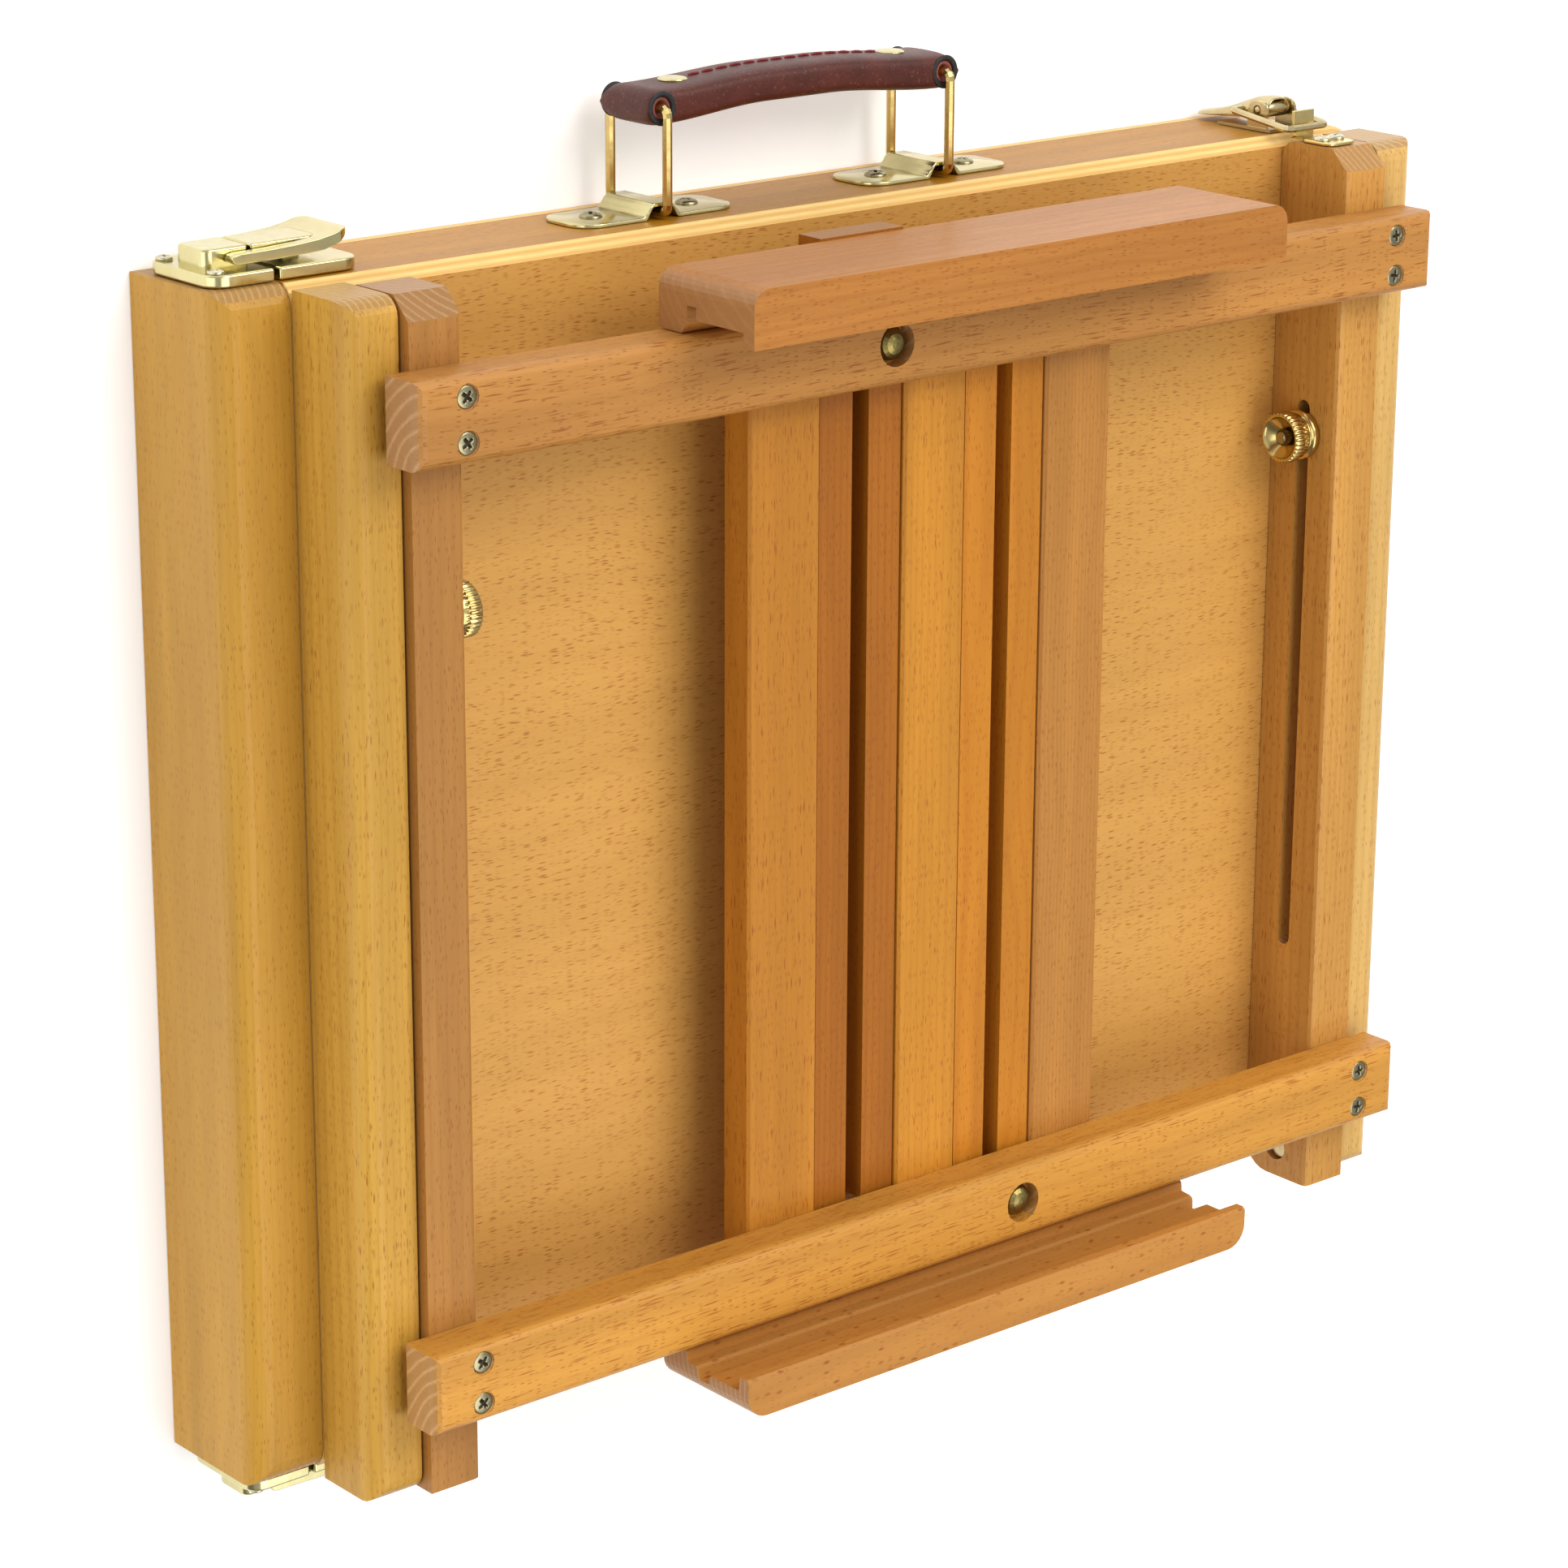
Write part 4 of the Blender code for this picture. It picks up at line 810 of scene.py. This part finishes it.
def make_grip():
    rows, around = GRIP_ROWS, GRIP_AROUND
    points, faces = [], []
    for i in range(rows + 1):
        x = -math.cos(math.pi * i / rows)
        x = GRIP_HALF * (0.55 * x + 0.45 * (2 * i / rows - 1)) if 0 < i < rows else GRIP_HALF * (1 if i else -1)
        half_height, half_width, middle, square = grip_section(x)
        for k in range(around):
            angle = 2 * math.pi * k / around
            cos, sin = math.cos(angle), math.sin(angle)
            y = math.copysign(abs(sin) ** (2 / square), sin) * half_height
            z = math.copysign(abs(cos) ** (2 / square), cos) * half_width
            if sin > 0:   # the crowned top falls away to the sides
                y -= 0.5 * (abs(z) / half_width) ** 2 * min(1.0, half_height / 5)
            points.append((GRIP_X + x, middle + y, GRIP_Z + z))
    for i in range(rows):
        for k in range(around):
            a, b, k2 = i * around, (i + 1) * around, (k + 1) % around
            faces.append((a + k, a + k2, b + k2, b + k))
    faces.append(tuple(range(around))[::-1])
    faces.append(tuple(range(rows * around, (rows + 1) * around)))
    grip = make_piece("handle_grip_leather", points, faces, HIDE)
    for side in (-1, 1):
        eye = lathe("eye_cutter", [(-20, EYE_RADIUS), (20, EYE_RADIUS)], (GRIP_X + side * BAR_X, BAR_Y, GRIP_Z), "Z",
                    LINING, 32)
        carve(grip, eye)
    smooth_all(grip)
    ride_with(grip, "grip")
    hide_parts("handle_grip")
    for side, label in ((-1, "left"), (1, "right")):
        bar = (GRIP_X + side * BAR_X, BAR_Y, GRIP_Z)
        lining = [(-12.6, 4.28), (-12.2, 3.5), (-6, 3.0), (6, 3.0), (12.2, 3.5), (12.6, 4.28)]
        tunnel = ring_piece(f"grip_lining_{label}", lining, LINING_BORE, bar, LINING)
        ride_with(tunnel, "grip")
        for face, edge in ((-1, "far"), (1, "near")):
            rim = [(12.2, 5.2), (13.1, 6.0), (13.42, 5.6), (13.42, 4.6), (12.9, 3.9), (12.0, 4.1)]
            ring = torus_like(f"grip_edge_{label}_{edge}", [(face * a, r) for a, r in rim], bar, DYE)
            ride_with(ring, "grip")
    rivet_profile = [(-1.2, 4.6), (0.0, 5.25), (0.25, 5.3), (0.55, 5.0), (0.85, 4.0), (1.0, 2.4), (1.05, 0.6)]
    for side, label in ((-1, "left"), (1, "right")):
        x = side * RIVET_X
        rivet = lathe(f"grip_rivet_{label}", rivet_profile, (GRIP_X + x, grip_top(x) - 0.12, GRIP_Z), "Y", BRIGHT, 40)
        ride_with(rivet, "grip")
    for i in range(STITCH_COUNT):
        x = (i - (STITCH_COUNT - 1) / 2) * STITCH_PITCH
        path = []
        for k in range(STITCH_STEPS + 1):
            share = k / STITCH_STEPS
            px = x + (share - 0.5) * STITCH_LENGTH
            rise = 0.50 * math.sin(math.pi * share) ** 0.5 if 0 < share < 1 else -0.35
            path.append((GRIP_X + px, grip_top(px) - 0.12 + rise, GRIP_Z + 0.35 * (share - 0.5)))
        stitch = tube(f"grip_stitch_{i:02d}", path, STITCH_RADIUS, THREAD)
        ride_with(stitch, "grip")


# ---------------------------------------------------------------- drawer latches

BOARD_Y = 207.5      # the case's long boards' faces
LATCH_Z = 25.0
# heights above the board's face
LATCH_PLATE_LOW, LATCH_PLATE_TOP, LATCH_BLOCK_TOP, LATCH_PIN_HEIGHT, NUB_TOP, TONGUE_LOW = 0.3, 4.5, 11.0, 7.6, 6.2, 6.7
LATCH_HALF, LEVER_HALF, WINDOW_HALF, TONGUE_HALF = 19.5, 14.0, 9.2, 8.3
LATCH_PIN_X, LATCH_PIN_HALF, LATCH_PIN_RADIUS = -258.0, 13.2, 1.25
# the lever from the side, as (x, height): its underside from the pin to the lifted tip, then its back
LEVER_SIDE = ((-259.9, 6.9), (-258.6, 6.0), (-245.0, 6.0), (-230.0, 6.5), (-224.5, 6.9), (-219.0, 8.5), (-214.6, 10.9),
              (-213.6, 12.0), (-213.9, 12.8), (-214.8, 13.15), (-217.0, 12.8), (-221.0, 11.7), (-227.0, 10.6),
              (-236.0, 9.9), (-245.0, 9.5), (-257.0, 9.3), (-259.4, 8.8), (-260.1, 7.9))


def make_drawer_latch(label, side):
    """side is +1 for the handle side and -1 for the far one. Heights run from the board's face."""
    def level(height):
        return side * (BOARD_Y + height)

    def slab(name, x0, x1, half, radii, low, high, steps=6):
        outline = rounded(x0, x1, LATCH_Z - half, LATCH_Z + half, radii, steps)
        return extrude(name, outline, *sorted((level(low), level(high))), "Y", BRIGHT)

    plate = soften(slab("latch_plate", -272.0, -247.8, LATCH_HALF, (7, 0.8, 0.8, 7), LATCH_PLATE_LOW, LATCH_PLATE_TOP),
                   1.5, 5)
    block = soften(slab("latch_block", -267.6, -250.6, 8.5, (3.4, 1, 1, 3.4), 2.0, LATCH_BLOCK_TOP), 1.7, 5)
    body = merge(f"latch_body_{label}_pressed", plate, block)
    ride_with(body, "drawer")
    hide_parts(f"latch_body_{label}")
    for index, s in enumerate((-1, 1)):
        head = screw(f"latch_screw_{label}_{index}", (-267.3, level(LATCH_PLATE_TOP), LATCH_Z + s * 15.0), "Y", side,
                     2.9, 1.4, PAN, turn=0.4 + index)
        ride_with(head, "drawer")

    strike = soften(slab("latch_strike", -245.8, -213.6, LATCH_HALF, (0.8, 7, 7, 0.8), LATCH_PLATE_LOW,
                         LATCH_PLATE_TOP), 1.5, 5)
    nub = soften(slab("latch_nub", -236, -228, 5, (1.5,) * 4, 2.0, NUB_TOP, steps=3), 0.8)
    strike = merge(f"latch_strike_{label}_pressed", strike, nub)
    ride_with(strike, "case")
    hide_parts(f"latch_strike_{label}")

    lever = extrude("latch_lever", [(x, level(h)) for x, h in LEVER_SIDE], LATCH_Z - LEVER_HALF, LATCH_Z + LEVER_HALF,
                    "Z", BRIGHT)
    window = slab("latch_window", -275.0, -224.2, WINDOW_HALF, (0, 4, 4, 0), 3.5, 15.0)
    corners = [extrude("latch_corner", corner_outline(-213.2, LATCH_Z + s * 14.4, 7.5, s),
                       *sorted((level(3.0), level(15.0))), "Y", BRIGHT) for s in (-1, 1)]
    carve(lever, window, *corners)
    soften(lever, 1.3, 5)
    tongue = soften(slab("latch_tongue", -249.5, -223.4, TONGUE_HALF, (0.8, 3.6, 3.6, 0.8), TONGUE_LOW,
                         LATCH_BLOCK_TOP), 1.1, 5)
    pin = lathe("latch_pin", [(-LATCH_PIN_HALF, LATCH_PIN_RADIUS), (LATCH_PIN_HALF, LATCH_PIN_RADIUS)],
                (LATCH_PIN_X, level(LATCH_PIN_HEIGHT), LATCH_Z), "Z", BRIGHT, 20)
    lever = merge(f"latch_lever_{label}_pressed", lever, tongue, pin)
    ride_with(lever, f"latch_lever_{label}")
    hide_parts(f"latch_lever_{label}")


# ---------------------------------------------------------------- toggle latch

TOGGLE_X = 212.5
TOGGLE_BARREL = (TOGGLE_X, BOARD_Y + 8.0, 38.0)
TOGGLE_RIVET = (TOGGLE_X, BOARD_Y + 7.0, 32.0)
# the spoon, by its stations: Z, half width, top height and bottom height
SPOON = ((2.0, 1.0, 2.6, 2.0), (2.7, 4.4, 3.3, 2.1), (4.5, 6.6, 3.8, 2.2), (8.0, 7.9, 4.4, 2.5),
         (12.0, 7.6, 5.0, 2.7), (17.0, 6.3, 6.3, 3.0), (22.0, 5.7, 8.2, 3.3), (28.0, 5.7, 10.6, 3.8),
         (33.0, 5.8, 12.3, 4.4), (37.0, 5.8, 12.9, 5.0), (39.5, 5.8, 12.9, 5.8), (41.5, 5.7, 12.3, 7.0))
SPOON_AROUND, SPOON_SQUARE, SPOON_WALL = 22, 2 / 3.0, 1.0
CATCH_Y = 206.3      # the underside of the catch plate
CATCH_THICK = 1.2


def make_toggle():
    """The spoon-shaped lever over its barrel, and the catch on the arm's end."""
    around = SPOON_AROUND
    points, faces = [], []
    for z, half, top, bottom in SPOON:
        for k in range(around + 1):
            angle = math.pi * k / around
            cos, sin = math.cos(angle), math.sin(angle)
            points.append((TOGGLE_X + math.copysign(abs(cos) ** SPOON_SQUARE, cos) * half,
                           BOARD_Y + bottom + abs(sin) ** SPOON_SQUARE * (top - bottom), z))
    row = around + 1
    for i in range(len(SPOON) - 1):
        for k in range(around):
            faces.append((i * row + k, i * row + k + 1, (i + 1) * row + k + 1, (i + 1) * row + k))
    lever = make_piece("toggle_lever_spoon", points, faces, ANTIQUE)
    wall = lever.modifiers.new("wall", "SOLIDIFY")
    wall.thickness, wall.offset = SPOON_WALL * MM, -1.0
    smoother = lever.modifiers.new("smooth", "SUBSURF")
    smoother.levels = smoother.render_levels = 2
    settle(lever)
    barrel = lathe("toggle_barrel", [(-6.4, 1.6), (-6.4, 2.9), (-5.9, 3.2), (5.9, 3.2), (6.4, 2.9), (6.4, 1.6)],
                   TOGGLE_BARREL, "X", ANTIQUE, 32)
    pin = lathe("toggle_pin", [(-8.4, 0.5), (-8.35, 1.2), (-8.0, 1.45), (8.0, 1.45), (8.35, 1.2), (8.4, 0.5)],
                TOGGLE_BARREL, "X", ANTIQUE, 24)
    rivets = [lathe("toggle_rivet", [(s * 5.4, 2.0), (s * 6.3, 1.9), (s * 6.9, 1.3), (s * 7.0, 0.4)],
                    TOGGLE_RIVET, "X", ANTIQUE, 24) for s in (-1, 1)]
    lever = merge("toggle_lever_spoon", lever, barrel, pin, *rivets)
    ride_with(lever, "toggle_lever")
    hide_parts("toggle_lever")

    base, face = CATCH_Y, BOARD_Y
    neck = [(-3.6, 53.5), (3.6, 53.5), (3.6, 57.0), (4.6, 59.5), (7.2, 62.0), (7.3, 72.5), (6.3, 75.0), (4.0, 75.9),
            (-4.0, 75.9), (-6.3, 75.0), (-7.3, 72.5), (-7.2, 62.0), (-4.6, 59.5), (-3.6, 57.0)]
    plate = extrude("toggle_catch_plate", [(TOGGLE_X + x, z) for x, z in neck], base, base + CATCH_THICK, "Y",
                    GOLD_PALE)
    soften(plate, 0.3, 2)
    flange_view = [(base + 0.2, 53.5), (base + 0.9, 54.7), (face + 2.0, 54.75), (face + 9.4, 54.75),
                   (face + 9.4, 53.6), (face + 2.0, 53.5)]
    flange = extrude("toggle_flange", flange_view, TOGGLE_X - 5.6, TOGGLE_X + 5.6, "X", GOLD_PALE)
    soften(flange, 0.3, 2)
    catch = merge("toggle_catch_plate", plate, flange)
    ride_with(catch, "frame")
    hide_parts("toggle_catch")
    for index, s in enumerate((-1, 1)):
        head = screw(f"toggle_catch_screw_{index}", (TOGGLE_X + s * 3.7, base + CATCH_THICK, 68.0), "Y", 1, 3.3, 1.75,
                     PAN, turn=0.9 * index + 0.3, dome=0.25)
        ride_with(head, "frame")


# ---------------------------------------------------------------- knobs and handle brackets

KNOB_FACE_X = 191.6      # the knobs' free faces, either side of the middle
# (distance from the free face towards the arm, radius)
KNOB_SECTION = ((5.0, 2.95), (4.4, 3.5), (2.9, 5.4), (1.5, 7.3), (0.7, 8.0), (0.15, 8.25), (0.0, 8.5), (0.1, 8.9),
                (0.3, 9.5), (0.6, 9.74), (5.0, 9.74), (5.3, 9.5), (5.4, 9.0), (7.6, 9.0), (7.9, 8.9), (8.1, 8.3),
                (8.9, 8.3), (9.1, 8.9), (9.4, 9.45), (10.0, 9.7), (11.4, 9.7), (12.0, 9.4), (12.6, 9.2), (12.6, 2.95))
KNOB_KNURL = (8, 11, 0.65, 34)
STUD_TURNS, STUD_PITCH = 9, 0.5


def make_knobs():
    for side, label in ((-1, "left"), (1, "right")):
        low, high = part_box(f"lock_knob_{label}")
        middle = (low + high) / 2 / MM
        place = (side * KNOB_FACE_X, middle.y, middle.z)
        knob = torus_like(f"lock_knob_{label}_knurled", [(side * a, r) for a, r in KNOB_SECTION], place, GOLD, 240,
                          "X", KNOB_KNURL)
        ride_with(knob, f"knob_{label}")
        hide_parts(f"lock_knob_{label}")
        thread_view = [(0.5, 1.7), (0.6, 2.1)]
        for turn in range(STUD_TURNS):
            thread_view += [(0.75 + STUD_PITCH * turn, 2.2), (1.0 + STUD_PITCH * turn, 2.7)]
        thread_view += [(5.2, 2.3)]
        stud = lathe(f"lock_knob_{label}_stud", [(side * a, r) for a, r in thread_view], place, "X", SCREW, 32)
        ride_with(stud, f"knob_{label}")


BRACKET_HALF, BRACKET_DEEP, BRACKET_CORNER = 34.5, 13.2, 9.0
BRACKET_BASE, BRACKET_THICK, BRACKET_RISE = 0.3, 1.2, 4.4
BRACKET_FLAT = 25.5                # where the plate's round ends start
BRACKET_EDGE, BRACKET_TIP = 0.35, 0.2      # its rounded edge
RIPPLE_FROM, RIPPLE_TO, RIPPLE_PITCH, RIPPLE_RISE = 3.4, 7.8, 1.6, 0.13
BRACKET_SCREW, BRACKET_SCREW_LIFT = 21.0, 1.45


def bulge(u, flat, foot):
    """1 over the loop's bar, falling smoothly to 0 at the ridge's foot."""
    share = min(1.0, max(0.0, (abs(u) - flat) / (foot - flat)))
    return 0.5 + 0.5 * math.cos(math.pi * share)


def make_brackets():
    """A brass plate pressed over the loop's lower bar, with round ends and two screws."""
    for label in ("left", "right"):
        low, high = (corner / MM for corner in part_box(f"handle_bracket_{label}"))
        x, z = (low.x + high.x) / 2, (low.z + high.z) / 2
        ups = [i * 0.4 for i in range(25)] + [12, 16, 20, 24, BRACKET_FLAT]
        ups += [BRACKET_FLAT + BRACKET_CORNER * math.sin(math.radians(a)) for a in range(10, 91, 10)]
        stations = sorted({round(e * u, 3) for e in (-1, 1) for u in ups})
        points, faces = [], []
        for u in stations:
            past = max(0.0, abs(u) - (BRACKET_HALF - BRACKET_CORNER))
            half = BRACKET_DEEP - BRACKET_CORNER + math.sqrt(max(0.0, BRACKET_CORNER ** 2 - past ** 2))
            top = BRACKET_BASE + BRACKET_THICK + BRACKET_RISE * bulge(u, 3.2, 8.6)
            if RIPPLE_FROM < abs(u) < RIPPLE_TO:
                top += RIPPLE_RISE * math.sin(2 * math.pi * abs(u) / RIPPLE_PITCH)
            under = BRACKET_BASE + BRACKET_RISE * bulge(u, 3.5, 7.4)
            if abs(u) > BRACKET_HALF - BRACKET_TIP:
                top -= BRACKET_EDGE
            edge = top - BRACKET_EDGE
            for k, y in ((-half, under), (-half, edge), (-half + 0.12, top - 0.1), (-half + 0.4, top),
                         (half - 0.4, top), (half - 0.12, top - 0.1), (half, edge), (half, under)):
                points.append((x + u, BOARD_Y + y, z + k))
        for i in range(len(stations) - 1):
            for k in range(8):
                faces.append((i * 8 + k, i * 8 + (k + 1) % 8, i * 8 + 8 + (k + 1) % 8, i * 8 + 8 + k))
        faces.append(tuple(range(8))[::-1])
        faces.append(tuple(range(len(points) - 8, len(points))))
        bracket = make_piece(f"handle_bracket_{label}_pressed", points, faces, BRIGHT)
        bracket.data.set_sharp_from_angle(angle=math.radians(50))
        ride_with(bracket, "case")
        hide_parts(f"handle_bracket_{label}")
        for index, s in enumerate((-1, 1)):
            head = screw(f"handle_bracket_{label}_screw_{index}",
                         (x + s * BRACKET_SCREW, BOARD_Y + BRACKET_SCREW_LIFT, z), "Y", 1, 4.1, 1.6, SCREW,
                         turn=0.7 + 0.9 * index, dome=0.12)
            ride_with(head, "case")


make_camera()
make_stage()
dress_frame()
make_rail_screws()
make_grip()
make_drawer_latch("handle_side", 1)
make_drawer_latch("far_side", -1)
make_toggle()
make_knobs()
make_brackets()
